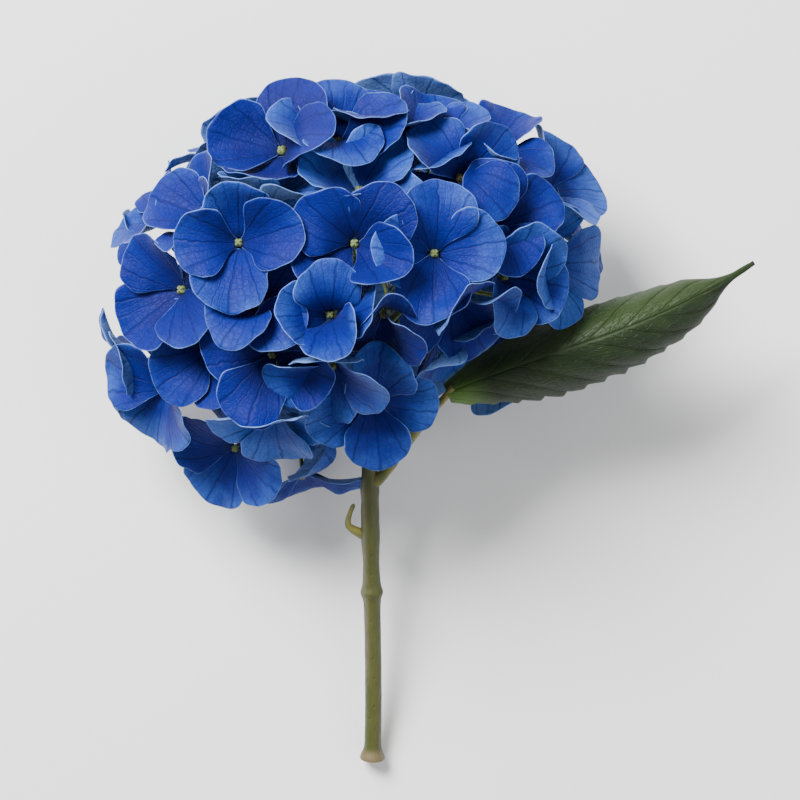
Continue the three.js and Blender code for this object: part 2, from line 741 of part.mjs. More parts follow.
// A floret as one body, grown by this much all round: four sepals round an eye, and its stalk.
function floretSolid(floret, grow) {
  const { eye, facing } = floret;
  const half = SEPAL.thickness / 2 + grow;
  const nets = floret.nets.map((net) => coarseNet(net, grow));
  const tops = nets.map((net) => raised(net, half));
  const unders = nets.map((net) => raised(net, -half));
  const faces = new FaceSet();
  tops.forEach((top, s) => faces.shell(top, unders[s], false));

  // The eye stands on the claws, and narrows to its crown.
  const ring = tops.flatMap((top) => top[0]);
  const shoulder = ring.map((p) => {
    const out = p.clone().sub(eye);
    out.addScaledVector(facing, -out.dot(facing)).setLength(0.9 * EYE.radius + grow);
    return eye.clone().add(out).addScaledVector(facing, 0.45 * EYE.height + grow);
  });
  const crown = eye.clone().addScaledVector(facing, 0.85 * EYE.height + grow);
  ring.forEach((p, k) => {
    const next = (k + 1) % ring.length;
    faces.face(p, ring[next], shoulder[next], shoulder[k]);
    faces.face(shoulder[k], shoulder[next], crown);
  });

  // Under the eye the claws draw together into the stalk, one corner for each sepal.
  const line = pedicelPath(floret, 3).reverse();
  const radii = line.map(
    (_, i) => THREE.MathUtils.lerp(PEDICEL.radius, PEDICEL.baseRadius, i / 3) + grow,
  );
  const rings = ringsAlong(line, radii, 4, unders[0][0][1].clone().sub(eye)).map((corners) => [
    corners[0],
    corners[3],
    corners[2],
    corners[1],
  ]);
  unders.forEach((under, s) => {
    const next = (s + 1) % 4;
    const [right, middle, left] = under[0];
    faces.face(right, rings[0][s], middle);
    faces.face(middle, rings[0][s], left);
    faces.face(left, rings[0][s], rings[0][next], unders[next][0][0]);
    faces.face(tops[s][0][2], left, unders[next][0][0], tops[next][0][0]);
  });
  const stalk = new FaceSet();
  stalk.tube(rings);
  stalk.triangles.forEach((corners) => {
    faces.face(...corners.map((index) => stalk.points[index]).reverse());
  });
  return solidFrom(faces.geometry());
}

function raySolid(ray, grow) {
  const path = new THREE.LineCurve3(ray.start, ray.tip).getPoints(2);
  const radii = path.map((_, i) => THREE.MathUtils.lerp(RAY.radius, RAY.tipRadius, i / 2) + grow);
  return solidFrom(barGeometry(path, radii, 6));
}

// Whether every edge joins exactly two faces, with points closer than a micrometre as one.
function isSound(solid) {
  const mesh = solid.getMesh();
  const names = Array.from({ length: mesh.numVert }, (_, v) => {
    const start = v * mesh.numProp;
    return Array.from(mesh.vertProperties.slice(start, start + 3), (c) => Math.round(c * 1000)).join();
  });
  const edges = new Set();
  for (let t = 0; t < mesh.triVerts.length; t += 3) {
    const corners = Array.from(mesh.triVerts.slice(t, t + 3), (v) => names[v]);
    if (new Set(corners).size < 3) continue;
    for (let k = 0; k < 3; k++) {
      const edge = `${corners[k]} ${corners[(k + 1) % 3]}`;
      if (edges.has(edge)) return false;
      edges.add(edge);
    }
  }
  return [...edges].every((edge) => edges.has(edge.split(" ").reverse().join(" ")));
}

// Cuts away what the other pieces need, and keeps the largest part that is left. Where the
// cuts leave two faces joined by no more than an edge, they are widened a little.
function makeRoom(solid, others) {
  const inTheWay = others.filter((other) => solid.intersect(other).volume() > 0);
  let largest = solid;
  for (let widening = 0; widening < 6; widening++) {
    let kept = solid;
    for (const other of inTheWay) {
      kept = kept.subtract(other).subtract(other); // twice, where two sepals cross
      if (widening > 0) {
        const step = widening * SLIVER * 3;
        kept = kept.subtract(other.translate([step, -step, step]));
      }
    }
    const parts = kept.simplify(SLIVER).decompose();
    largest = parts.reduce((most, part) => (part.volume() > most.volume() ? part : most));
    if (isSound(largest)) break;
  }
  return largest;
}

// ---------------------------------------------------------------- the finished group
const COLOURS = {
  sepal: 0x2f5fd0,
  stalk: 0x6f7a34,
  stem: 0x5c6628,
  leaf: 0x2c4a22,
  petiole: 0x7a7430,
};

function namedMesh(name, geometry, colour, roughness) {
  const material = new THREE.MeshStandardMaterial({ color: colour, roughness, metalness: 0 });
  const mesh = new THREE.Mesh(geometry, material);
  mesh.name = name;
  return mesh;
}

function build() {
  const random = randomStream(11);
  const front = frontFlorets();
  const florets = [...front, ...backFlorets(front, random)];
  const rays = makeRays();
  joinToRays(florets, rays);
  for (const floret of florets) prepareFloret(floret, random);
  settle(florets, rays);
  florets.forEach(stackSepals);

  const group = new THREE.Group();
  const pieces = [
    ["stem", stemGeometry(), COLOURS.stem],
    ["side_shoot", shootGeometry(), COLOURS.stem],
    ["leaf_petiole", petioleGeometry(), COLOURS.petiole],
    ["leaf_blade", leafGeometry(), COLOURS.leaf],
  ];
  for (const [name, geometry, colour] of pieces) {
    group.add(namedMesh(name, geometry, colour, 0.6));
  }
  const claimed = [stemGeometry(), petioleGeometry(), leafGeometry()].map(solidFrom);
  rays.forEach((ray, k) => {
    const solid = makeRoom(raySolid(ray, 0), claimed);
    claimed.push(raySolid(ray, CLEARANCE));
    group.add(namedMesh(`ray_${k + 1}`, geometryFrom(solid), COLOURS.stalk, 0.6));
  });
  florets.forEach((floret, k) => {
    const solid = makeRoom(floretSolid(floret, 0), claimed);
    claimed.push(floretSolid(floret, CLEARANCE), solid);
    const name = `floret_${String(k + 1).padStart(2, "0")}`;
    group.add(namedMesh(name, geometryFrom(solid), COLOURS.sepal, 0.55));
  });

  // The origin is under the middle of the whole object, on the table.
  const box = new THREE.Box3().setFromObject(group, true);
  const middle = box.getCenter(v3(0, 0, 0));
  group.position.set(-middle.x, -middle.y, -box.min.z);
  return group;
}

export default build();
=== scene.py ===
"""Looks of a cut hydrangea: a blue mophead on its cut stem with one toothed leaf, lying on a table.

Every sepal, bud, stalk, branch, leaf and stem is rebuilt at full detail on the shapes of the frame.
"""

import logging
import math
from dataclasses import dataclass, field
from enum import Enum
from typing import Any

import bpy
import numpy as np
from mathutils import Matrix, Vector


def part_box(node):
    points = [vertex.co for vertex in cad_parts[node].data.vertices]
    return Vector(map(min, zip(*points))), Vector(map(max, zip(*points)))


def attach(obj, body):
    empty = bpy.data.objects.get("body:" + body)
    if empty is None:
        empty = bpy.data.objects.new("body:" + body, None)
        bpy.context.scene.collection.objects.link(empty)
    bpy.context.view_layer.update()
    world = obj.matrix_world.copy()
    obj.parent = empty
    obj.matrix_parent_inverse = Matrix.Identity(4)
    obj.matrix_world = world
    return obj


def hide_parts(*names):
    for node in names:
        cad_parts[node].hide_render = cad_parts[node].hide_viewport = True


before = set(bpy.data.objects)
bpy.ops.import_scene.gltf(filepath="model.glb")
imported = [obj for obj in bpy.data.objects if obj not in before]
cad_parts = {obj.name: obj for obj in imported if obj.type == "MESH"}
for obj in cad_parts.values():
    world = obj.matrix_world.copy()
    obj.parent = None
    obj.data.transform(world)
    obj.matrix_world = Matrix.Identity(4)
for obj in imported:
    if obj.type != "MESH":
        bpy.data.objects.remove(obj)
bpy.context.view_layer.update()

LOG = logging.getLogger("hydrangea")
MM = 0.001
WELD = 1e-6  # vertices closer than this are one
FAN_MAP = "petal"  # the UV map that the vein patterns follow
FRONT_SIDE = (0.55, 0.9)  # from here to here a blade's face turns from its back to its front
LATERAL_LEAN = 0.26  # how far the leaf's side veins run ahead by the time they reach the edge
LATERAL_CURVE = 0.85  # how that lean grows from the midrib
OBLIQUE = (0.31, 0.17, 0.93)  # a direction that no floret quite faces
BRANCHES = 6
# Swellings of the stem, each with its share of the length, its rise and its reach: the foot, the
# ring and the thickening about it, the side shoot's node, the bark above it and the petiole's node.
STEM_SWELLINGS = (
    (0.0, 1.6 * MM, 0.018),
    (0.405, 0.75 * MM, 0.011),
    (0.409, 0.5 * MM, 0.033),
    (0.54, 0.5 * MM, 0.035),
    (0.60, 0.4 * MM, 0.03),
    (0.655, 0.6 * MM, 0.02),
)
TEETH_FALL = 0.75  # the share of a tooth that slopes back
Color = tuple[float, float, float, float]


class Slot(Enum):
    """The material slots of the record."""

    SEPAL = "sepal"
    STALK = "stalk"
    STEM = "stem"
    PETIOLE = "petiole"
    LEAF = "leaf"


class Tissue(Enum):
    """What a swept tube is made of, which sets its finish."""

    GREEN_STALK = "green stalk"
    WOODY_STEM = "woody stem"
    LEAF_STALK = "leaf stalk"


def rgb(red: float, green: float, blue: float) -> Color:
    """Returns an opaque linear colour."""
    return (red, green, blue, 1.0)


def unit(vector: np.ndarray) -> np.ndarray:
    """Returns the vector at length one."""
    return vector / max(float(np.linalg.norm(vector)), 1e-12)


def catmull_rom(points: np.ndarray, count: int) -> np.ndarray:
    """Draws a smooth line through points.

    Args:
        points: The points to pass through, one row each.
        count: How many points the line gets.

    Returns:
        The points of the line, one row each.
    """
    padded = np.vstack([2 * points[0] - points[1], points, 2 * points[-1] - points[-2]])
    spans = len(points) - 1
    place = np.linspace(0, spans, count)
    first = np.minimum(place.astype(int), spans - 1)
    t = (place - first)[:, None]
    a, b, c, d = (padded[first + k] for k in range(4))
    square, cube = 2 * a - 5 * b + 4 * c - d, 3 * b - a - 3 * c + d
    return 0.5 * (2 * b + (c - a) * t + square * t**2 + cube * t**3)


class Graph:
    """Adds nodes to one tree and links them."""

    def __init__(self, tree: bpy.types.NodeTree) -> None:
        """Keeps the tree that the nodes go into."""
        self.tree = tree

    def add(self, kind: str, inputs: dict[Any, Any] | None = None, **settings: Any) -> bpy.types.Node:
        """Adds one node.

        Args:
            kind: The node's type.
            inputs: Values or sockets for its inputs, by name or by index.
            **settings: Its own properties, such as an operation.

        Returns:
            The node.
        """
        node = self.tree.nodes.new(kind)
        for name, value in settings.items():
            setattr(node, name, value)
        for key, value in (inputs or {}).items():
            self.feed(node.inputs[key], value)
        return node

    def feed(self, socket: bpy.types.NodeSocket, value: Any) -> None:
        """Links a socket to value, or sets it where value is a constant.

        Args:
            socket: An input of one of the nodes.
            value: Another node's output, or a constant.
        """
        if isinstance(value, bpy.types.NodeSocket):
            self.tree.links.new(value, socket)
        else:
            socket.default_value = value

    def math(self, operation: str, *values: Any) -> bpy.types.NodeSocket:
        """Returns the result of a scalar operation on values."""
        return self.add("ShaderNodeMath", dict(enumerate(values)), operation=operation).outputs[0]

    def times(self, first: Any, second: Any) -> bpy.types.NodeSocket:
        """Returns first times second."""
        return self.math("MULTIPLY", first, second)

    def plus(self, first: Any, second: Any) -> bpy.types.NodeSocket:
        """Returns first plus second."""
        return self.math("ADD", first, second)

    def minus(self, first: Any, second: Any) -> bpy.types.NodeSocket:
        """Returns first less second."""
        return self.math("SUBTRACT", first, second)

    def vector(self, operation: str, *values: Any) -> bpy.types.NodeSocket:
        """Returns the vector result of an operation on two vectors."""
        return self.add("ShaderNodeVectorMath", dict(enumerate(values)), operation=operation).outputs[0]

    def scaled(self, vector: bpy.types.NodeSocket, scale: Any) -> bpy.types.NodeSocket:
        """Returns the vector times a scalar."""
        inputs = {"Vector": vector, "Scale": scale}
        return self.add("ShaderNodeVectorMath", inputs, operation="SCALE").outputs[0]

    def ramp(
        self, value: Any, start: float, end: float, low: float = 0.0, high: float = 1.0
    ) -> bpy.types.NodeSocket:
        """Maps value smoothly from start..end to low..high.

        Args:
            value: What is mapped.
            start: Where the result is low.
            end: Where the result is high.
            low: The result at start.
            high: The result at end.

        Returns:
            The mapped value's socket.
        """
        inputs = {"Value": value, "From Min": start, "From Max": end, "To Min": low, "To Max": high}
        return self.add("ShaderNodeMapRange", inputs, interpolation_type="SMOOTHSTEP").outputs[0]

    def mix(self, share: Any, first: Any, second: Any) -> bpy.types.NodeSocket:
        """Returns the colour that is first where share is 0 and second where it is 1."""
        inputs = {0: share, 6: first, 7: second}
        return self.add("ShaderNodeMix", inputs, data_type="RGBA").outputs[2]

    def place(self) -> bpy.types.NodeSocket:
        """Returns the coordinates of the object itself."""
        return self.add("ShaderNodeTexCoord").outputs["Object"]

    def drawn(self, place: Any, share: float) -> bpy.types.NodeSocket:
        """Returns coordinates whose patterns are drawn out along Y, more so where share is small."""
        return self.add("ShaderNodeMapping", {"Vector": place, "Scale": (1.0, share, 1.0)}).outputs[0]

    def noise(
        self, vector: Any, scale: Any, detail: float = 3.0, rough: float = 0.5
    ) -> bpy.types.NodeSocket:
        """Returns a noise value about 0.5 on the given coordinates."""
        inputs = {"Vector": vector, "Scale": scale, "Detail": detail, "Roughness": rough}
        return self.add("ShaderNodeTexNoise", inputs).outputs[0]

    def attribute(self, name: str) -> bpy.types.NodeSocket:
        """Returns a number that the mesh carries."""
        return self.add("ShaderNodeAttribute", attribute_name=name).outputs["Fac"]

    def stripes(self, phase: Any, thin: float) -> bpy.types.NodeSocket:
        """Returns 1 on a thin line at each whole number of phase and 0 between them."""
        away = self.math("PINGPONG", phase, 0.5)
        return self.ramp(away, 0.0, thin, 1.0, 0.0)


class Finish:
    """The base of each finish: a physically based surface with its own colour, gloss and relief."""

    name = "finish"

    def material(self) -> bpy.types.Material:
        """Makes the finish's material, once.

        Returns:
            The material, with its colour, roughness and relief laid out.
        """
        found = bpy.data.materials.get(self.name)
        if found:
            return found
        made = bpy.data.materials.new(self.name)
        made.use_nodes = True
        graph = Graph(made.node_tree)
        surface = made.node_tree.nodes["Principled BSDF"]
        color, rough, height, depth = self.paint(graph, surface)
        graph.feed(surface.inputs["Base Color"], color)
        graph.feed(surface.inputs["Roughness"], rough)
        bump = graph.add("ShaderNodeBump", {"Strength": 1.0, "Distance": depth, "Height": height})
        graph.feed(surface.inputs["Normal"], bump.outputs[0])
        return made

    def paint(self, graph: Graph, surface: bpy.types.Node) -> tuple[Any, Any, Any, float]:
        """Lays out the finish's nodes.

        Args:
            graph: Where the nodes go.
            surface: The shader, for the constants of the finish.

        Returns:
            The colour, the roughness, the relief, and the relief's depth in metres.
        """
        raise NotImplementedError


@dataclass(frozen=True)
class SepalFinish(Finish):
    """Blue sepal tissue: a fan of darker veins, a netted lamina, a paler underside, painted shade about
    the eye and a painted highlight along the rim.
    """

    name: str = "sepal_blue"
    deep: Color = rgb(0.0003, 0.0022, 0.088)
    middle: Color = rgb(0.0014, 0.0080, 0.160)
    light: Color = rgb(0.028, 0.090, 0.390)
    vein: Color = rgb(0.0002, 0.0022, 0.060)
    back_deep: Color = rgb(0.014, 0.044, 0.220)
    back_light: Color = rgb(0.130, 0.250, 0.560)
    back_vein: Color = rgb(0.007, 0.020, 0.150)
    # painted highlight: the pale blue of the light that each sepal's thin edge catches
    rim: Color = rgb(0.120, 0.205, 0.540)
    # painted shade: the near-black blue of the shade deep in the floret's cup, painted on each sepal's
    # base by the eye
    throat_shade: Color = rgb(0.001, 0.004, 0.050)
    # Each tier of veins: how many to a fan unit, where it starts, its strength and its width.
    tiers: tuple[tuple[float, float, float, float], ...] = (
        (3.0, 0.0, 1.0, 0.085),
        (6.0, 0.30, 0.60, 0.10),
        (12.0, 0.55, 0.36, 0.15),
    )
    tier_growth: float = 0.16
    wander: float = 0.085
    wander_scale: float = 260.0
    net_size: tuple[float, float] = (11.0, 15.0)
    net_width: float = 0.12
    net_strength: float = 0.38
    mottle: float = 1.3
    mottle_scale: float = 90.0
    edge_light: float = 0.20
    vein_front: float = 0.62
    vein_back: float = 0.50
    rim_start: float = 0.972
    grain_scale: float = 1500.0
    grain_relief: float = 0.30
    gloss: tuple[float, float] = (0.50, 0.20)
    sheen: float = 0.03
    sheen_roughness: float = 0.45
    specular: float = 0.14
    depth: float = 0.22 * MM

    def veins(self, graph: Graph, angle: Any, reach: Any, tone: Any, place: Any) -> bpy.types.NodeSocket:
        """Draws the veins.

        Args:
            graph: Where the nodes go.
            angle: How far round the fan a point is.
            reach: How far out along the fan it is.
            tone: The sepal's own tone, which sets its net apart.
            place: The object's coordinates.

        Returns:
            How much of a vein each point is, 0 to 1.
        """
        wander = graph.minus(graph.noise(place, self.wander_scale, 2.0), 0.5)
        bend = graph.plus(angle, graph.times(wander, self.wander))
        net_place = graph.add(
            "ShaderNodeCombineXYZ",
            {0: graph.times(bend, self.net_size[0]), 1: graph.times(reach, self.net_size[1]), 2: tone},
        ).outputs[0]
        inputs = {"Vector": net_place, "Scale": 1.0}
        cells = graph.add("ShaderNodeTexVoronoi", inputs, feature="DISTANCE_TO_EDGE")
        veins = graph.ramp(cells.outputs["Distance"], 0.0, self.net_width, self.net_strength, 0.0)
        for lines, start, strength, thin in self.tiers:
            line = graph.stripes(graph.times(bend, lines), thin)
            grown = graph.times(graph.ramp(reach, start, start + self.tier_growth), strength)
            veins = graph.math("MAXIMUM", veins, graph.times(line, grown))
        return veins

    def paint(self, graph: Graph, surface: bpy.types.Node) -> tuple[Any, Any, Any, float]:
        """Lays out the sepal's nodes.

        Args:
            graph: Where the nodes go.
            surface: The shader, for the constants of the finish.

        Returns:
            The colour, the roughness, the relief, and the relief's depth in metres.
        """
        place = graph.place()
        fan = graph.add("ShaderNodeUVMap", uv_map=FAN_MAP).outputs[0]
        parts = graph.add("ShaderNodeSeparateXYZ", {0: fan})
        angle, reach = parts.outputs[0], parts.outputs[1]
        front, edge, tone = (graph.attribute(name) for name in ("front", "edge", "tone"))
        veins = self.veins(graph, angle, reach, tone, place)
        mottle = graph.noise(place, self.mottle_scale, 4.0, 0.6)
        shade = graph.plus(tone, graph.times(graph.minus(mottle, 0.5), self.mottle))
        lift = graph.ramp(reach, 0.30, 0.95, -0.35, 0.30)
        lit_edge = graph.times(graph.math("POWER", edge, 3.0), self.edge_light)
        outward = graph.plus(graph.plus(shade, lift), lit_edge)
        top = graph.mix(graph.ramp(outward, -1.0, 0.1), self.deep, self.middle)
        top = graph.mix(graph.ramp(outward, 0.0, 1.3), top, self.light)
        top = graph.mix(graph.times(veins, self.vein_front), top, self.vein)
        # painted shade: each sepal's base by the eye is painted near-black blue for the shade in the
        # floret's cup
        top = graph.mix(graph.ramp(reach, 0.34, 0.08, 0.0, 0.75), top, self.throat_shade)
        under = graph.mix(graph.ramp(outward, -0.9, 1.2), self.back_deep, self.back_light)
        under = graph.mix(graph.times(veins, self.vein_back), under, self.back_vein)
        color = graph.mix(graph.ramp(front, *FRONT_SIDE), under, top)
        # painted highlight: a pale band along each sepal's edge for the light its thin rim catches,
        # broken up by the mottle
        wear_and_highlight_mask = graph.ramp(mottle, 0.36, 0.62, 0.25, 0.9)
        rim = graph.times(graph.ramp(edge, self.rim_start, 0.998), wear_and_highlight_mask)
        color = graph.mix(rim, color, self.rim)
        fine = graph.noise(place, self.grain_scale, 2.0, 0.6)
        rough = graph.plus(self.gloss[0], graph.times(fine, self.gloss[1]))
        relief = graph.minus(graph.times(fine, self.grain_relief), veins)
        surface.inputs["Sheen Weight"].default_value = self.sheen
        surface.inputs["Sheen Roughness"].default_value = self.sheen_roughness
        surface.inputs["Specular IOR Level"].default_value = self.specular
        return color, rough, relief, self.depth


@dataclass(frozen=True)
class BudFinish(Finish):
    """The closed bud in a floret's middle: yellow green with darker seams, some of them olive brown."""

    name: str = "bud_green"
    pale: Color = rgb(0.170, 0.215, 0.075)
    dull: Color = rgb(0.150, 0.125, 0.045)
    seam: Color = rgb(0.090, 0.130, 0.040)
    speck_scale: float = 1400.0
    specular: float = 0.4
    depth: float = 0.15 * MM

    def paint(self, graph: Graph, surface: bpy.types.Node) -> tuple[Any, Any, Any, float]:
        """Lays out the bud's nodes.

        Args:
            graph: Where the nodes go.
            surface: The shader, for the constants of the finish.

        Returns:
            The colour, the roughness, the relief, and the relief's depth in metres.
        """
        place = graph.place()
        tone, groove = graph.attribute("tone"), graph.attribute("groove")
        speck = graph.noise(place, self.speck_scale, 4.0, 0.65)
        color = graph.mix(graph.ramp(tone, 0.25, 0.75), self.pale, self.dull)
        color = graph.mix(graph.ramp(speck, 0.40, 0.75, 0.0, 0.45), color, self.seam)
        color = graph.mix(graph.ramp(groove, 0.45, 1.0, 0.0, 0.8), color, self.seam)
        rough = graph.ramp(speck, 0.3, 0.7, 0.42, 0.60)
        surface.inputs["Specular IOR Level"].default_value = self.specular
        return color, rough, speck, self.depth


@dataclass(frozen=True)
class StalkFinish(Finish):
    """Thin green stalks and inner branches, mottled from yellow green to olive."""

    name: str = "stalk_green"
    light: Color = rgb(0.210, 0.260, 0.070)
    dark: Color = rgb(0.075, 0.105, 0.030)
    patch_scale: float = 130.0
    grain_scale: float = 1200.0
    depth: float = 0.12 * MM

    def paint(self, graph: Graph, surface: bpy.types.Node) -> tuple[Any, Any, Any, float]:
        """Lays out the stalk's nodes.

        Args:
            graph: Where the nodes go.
            surface: The shader, for the constants of the finish.

        Returns:
            The colour, the roughness, the relief, and the relief's depth in metres.
        """
        place = graph.place()
        patch = graph.noise(place, self.patch_scale, 4.0, 0.6)
        fine = graph.noise(place, self.grain_scale, 3.0, 0.6)
        color = graph.mix(graph.ramp(patch, 0.30, 0.72), self.light, self.dark)
        color = graph.mix(graph.ramp(fine, 0.55, 0.80, 0.0, 0.4), color, self.dark)
        return color, graph.ramp(fine, 0.3, 0.7, 0.45, 0.62), fine, self.depth


@dataclass(frozen=True)
class StemFinish(Finish):
    """The stem's bark: olive green with long fibres, a weathered streak, pores and a brown cut end."""

    name: str = "stem_olive"
    olive: Color = rgb(0.038, 0.047, 0.005)
    golden: Color = rgb(0.062, 0.064, 0.007)
    streak: Color = rgb(0.085, 0.080, 0.048)
    pore: Color = rgb(0.032, 0.028, 0.011)
    cut: Color = rgb(0.130, 0.095, 0.042)
    pith: Color = rgb(0.360, 0.310, 0.170)
    foot: tuple[float, float, float] = (0.0, 0.0, 0.0)
    fibre_scale: float = 900.0
    fibre_draw: float = 0.09
    patch_scale: float = 120.0
    patch_draw: float = 0.35
    pore_scale: float = 420.0
    pore_draw: float = 0.45
    pore_color: float = 0.25
    pore_relief: float = 0.8
    cut_reach: tuple[float, float] = (4.5 * MM, 0.8 * MM)
    pith_radius: tuple[float, float] = (3.0 * MM, 1.8 * MM)
    depth: float = 0.25 * MM

    def paint(self, graph: Graph, surface: bpy.types.Node) -> tuple[Any, Any, Any, float]:
        """Lays out the bark's nodes.

        Args:
            graph: Where the nodes go.
            surface: The shader, for the constants of the finish.

        Returns:
            The colour, the roughness, the relief, and the relief's depth in metres.
        """
        place = graph.place()
        fibre = graph.noise(graph.drawn(place, self.fibre_draw), self.fibre_scale, 4.0, 0.6)
        patch = graph.noise(graph.drawn(place, self.patch_draw), self.patch_scale, 4.0)
        inputs = {"Vector": graph.drawn(place, self.pore_draw), "Scale": self.pore_scale}
        dots = graph.add("ShaderNodeTexVoronoi", inputs, feature="F1").outputs["Distance"]
        pores = graph.ramp(dots, 0.10, 0.22, 1.0, 0.0)
        along, away = graph.attribute("along"), graph.attribute("side")
        color = graph.mix(graph.ramp(patch, 0.34, 0.70), self.olive, self.golden)
        wear_and_highlight_mask = graph.times(graph.ramp(away, 0.15, 0.75), graph.ramp(along, 0.80, 0.58))
        wear_and_highlight_mask = graph.times(wear_and_highlight_mask, graph.ramp(along, 0.12, 0.30))
        wear_and_highlight_mask = graph.times(wear_and_highlight_mask, graph.ramp(fibre, 0.3, 0.6, 0.35, 1.0))
        color = graph.mix(wear_and_highlight_mask, color, self.streak)
        color = graph.mix(graph.ramp(fibre, 0.52, 0.78, 0.0, 0.55), color, self.pore)
        color = graph.mix(graph.times(pores, self.pore_color), color, self.pore)
        split = graph.add("ShaderNodeSeparateXYZ", {0: place})
        from_end = graph.minus(split.outputs[1], self.foot[1])
        color = graph.mix(graph.ramp(from_end, *self.cut_reach, 0.0, 0.85), color, self.cut)
        centre = graph.vector("SUBTRACT", place, self.foot)
        radius = graph.add("ShaderNodeVectorMath", {0: centre}, operation="LENGTH").outputs["Value"]
        color = graph.mix(graph.ramp(radius, *self.pith_radius, 0.0, 0.9), color, self.pith)
        rough = graph.ramp(fibre, 0.3, 0.7, 0.42, 0.62)
        relief = graph.minus(fibre, graph.times(pores, self.pore_relief))
        return color, rough, relief, self.depth


@dataclass(frozen=True)
class PetioleFinish(Finish):
    """The leaf's stalk: golden olive, darker at its foot, with fine long grain."""

    name: str = "petiole_golden"
    golden: Color = rgb(0.190, 0.165, 0.030)
    olive: Color = rgb(0.075, 0.088, 0.018)
    grain_scale: float = 700.0
    grain_draw: float = 0.3
    patch_scale: float = 160.0
    depth: float = 0.2 * MM

    def paint(self, graph: Graph, surface: bpy.types.Node) -> tuple[Any, Any, Any, float]:
        """Lays out the petiole's nodes.

        Args:
            graph: Where the nodes go.
            surface: The shader, for the constants of the finish.

        Returns:
            The colour, the roughness, the relief, and the relief's depth in metres.
        """
        place = graph.place()
        grain = graph.noise(graph.drawn(place, self.grain_draw), self.grain_scale, 4.0)
        patch = graph.noise(place, self.patch_scale, 3.0)
        along = graph.attribute("along")
        color = graph.mix(graph.ramp(patch, 0.35, 0.70), self.golden, self.olive)
        color = graph.mix(graph.ramp(along, 0.16, 0.0, 0.0, 0.7), color, self.olive)
        color = graph.mix(graph.ramp(grain, 0.5, 0.8, 0.0, 0.45), color, self.olive)
        return color, graph.ramp(grain, 0.3, 0.7, 0.40, 0.58), grain, self.depth


@dataclass(frozen=True)
class LeafFinish(Finish):
    """The leaf: dark green with its upper half painted lighter for the light it faces, a faint net of
    veins and a bright base.
    """

    name: str = "leaf_green"
    dark: Color = rgb(0.0050, 0.0160, 0.0012)
    # painted light: the lighter green of the upper half, which faces the light; the mottle uses it too
    lit: Color = rgb(0.0150, 0.0330, 0.0030)
    fresh: Color = rgb(0.080, 0.170, 0.022)
    vein: Color = rgb(0.030, 0.055, 0.012)
    under: Color = rgb(0.095, 0.140, 0.060)
    laterals: float = 9.0
    lean: float = LATERAL_LEAN
    lean_curve: float = LATERAL_CURVE
    wander: float = 0.03
    wander_scale: float = 70.0
    lateral_width: float = 0.055
    net_size: tuple[float, float] = (9.0, 3.0)
    net_scale: float = 1.6
    mottle_scale: float = 110.0
    vein_front: float = 0.16
    vein_back: float = 0.6
    grain_scale: float = 1300.0
    grain_relief: float = 0.25
    gloss: tuple[float, float] = (0.42, 0.22)
    specular: float = 0.30
    depth: float = 0.35 * MM

    def veins(self, graph: Graph, across: Any, along: Any, place: Any) -> bpy.types.NodeSocket:
        """Draws the midrib, the side veins and the net between them.

        Args:
            graph: Where the nodes go.
            across: How far across the leaf a point is, -1 to 1.
            along: How far along the midrib it is, 0 to 1.
            place: The object's coordinates.

        Returns:
            How much of a vein each point is, 0 to 1.
        """
        wander = graph.minus(graph.noise(place, self.wander_scale, 2.0), 0.5)
        aside = graph.math("ABSOLUTE", across)
        lean = graph.times(graph.math("POWER", aside, self.lean_curve), self.lean)
        phase = graph.plus(graph.minus(along, lean), graph.times(wander, self.wander))
        phase = graph.times(phase, self.laterals)
        lateral = graph.times(graph.stripes(phase, self.lateral_width), graph.ramp(aside, 0.96, 0.70))
        midrib = graph.ramp(aside, 0.010, 0.040, 1.0, 0.0)
        inputs = {0: graph.times(across, self.net_size[0]), 1: graph.times(phase, self.net_size[1])}
        net_place = graph.add("ShaderNodeCombineXYZ", inputs).outputs[0]
        inputs = {"Vector": net_place, "Scale": self.net_scale}
        cells = graph.add("ShaderNodeTexVoronoi", inputs, feature="DISTANCE_TO_EDGE")
        net = graph.ramp(cells.outputs["Distance"], 0.0, 0.09, 0.45, 0.0)
        return graph.math("MAXIMUM", net, graph.math("MAXIMUM", lateral, midrib))

    def paint(self, graph: Graph, surface: bpy.types.Node) -> tuple[Any, Any, Any, float]:
        """Lays out the leaf's nodes.

        Args:
            graph: Where the nodes go.
            surface: The shader, for the constants of the finish.

        Returns:
            The colour, the roughness, the relief, and the relief's depth in metres.
        """
        place = graph.place()
        sheet = graph.add("ShaderNodeUVMap", uv_map=FAN_MAP).outputs[0]
        parts = graph.add("ShaderNodeSeparateXYZ", {0: sheet})
        across, along = parts.outputs[0], parts.outputs[1]
        veins = self.veins(graph, across, along, place)
        mottle = graph.noise(place, self.mottle_scale, 4.0, 0.6)
        # painted light: the upper half, which faces the light, is painted lighter than the lower half
        color = graph.mix(graph.ramp(across, -0.20, 0.12), self.lit, self.dark)
        color = graph.mix(graph.ramp(mottle, 0.36, 0.70, 0.0, 0.5), color, self.lit)
        color = graph.mix(graph.times(veins, self.vein_front), color, self.vein)
        fresh = graph.times(graph.ramp(along, 0.15, 0.02), graph.ramp(across, -0.3, 0.2, 0.4, 1.0))
        color = graph.mix(fresh, color, self.fresh)
        below = graph.mix(graph.times(veins, self.vein_back), self.under, self.vein)
        color = graph.mix(graph.ramp(graph.attribute("front"), *FRONT_SIDE), below, color)
        fine = graph.noise(place, self.grain_scale, 3.0, 0.6)
        rough = graph.plus(self.gloss[0], graph.times(fine, self.gloss[1]))
        relief = graph.minus(graph.times(fine, self.grain_relief), veins)
        surface.inputs["Specular IOR Level"].default_value = self.specular
        return color, rough, relief, self.depth


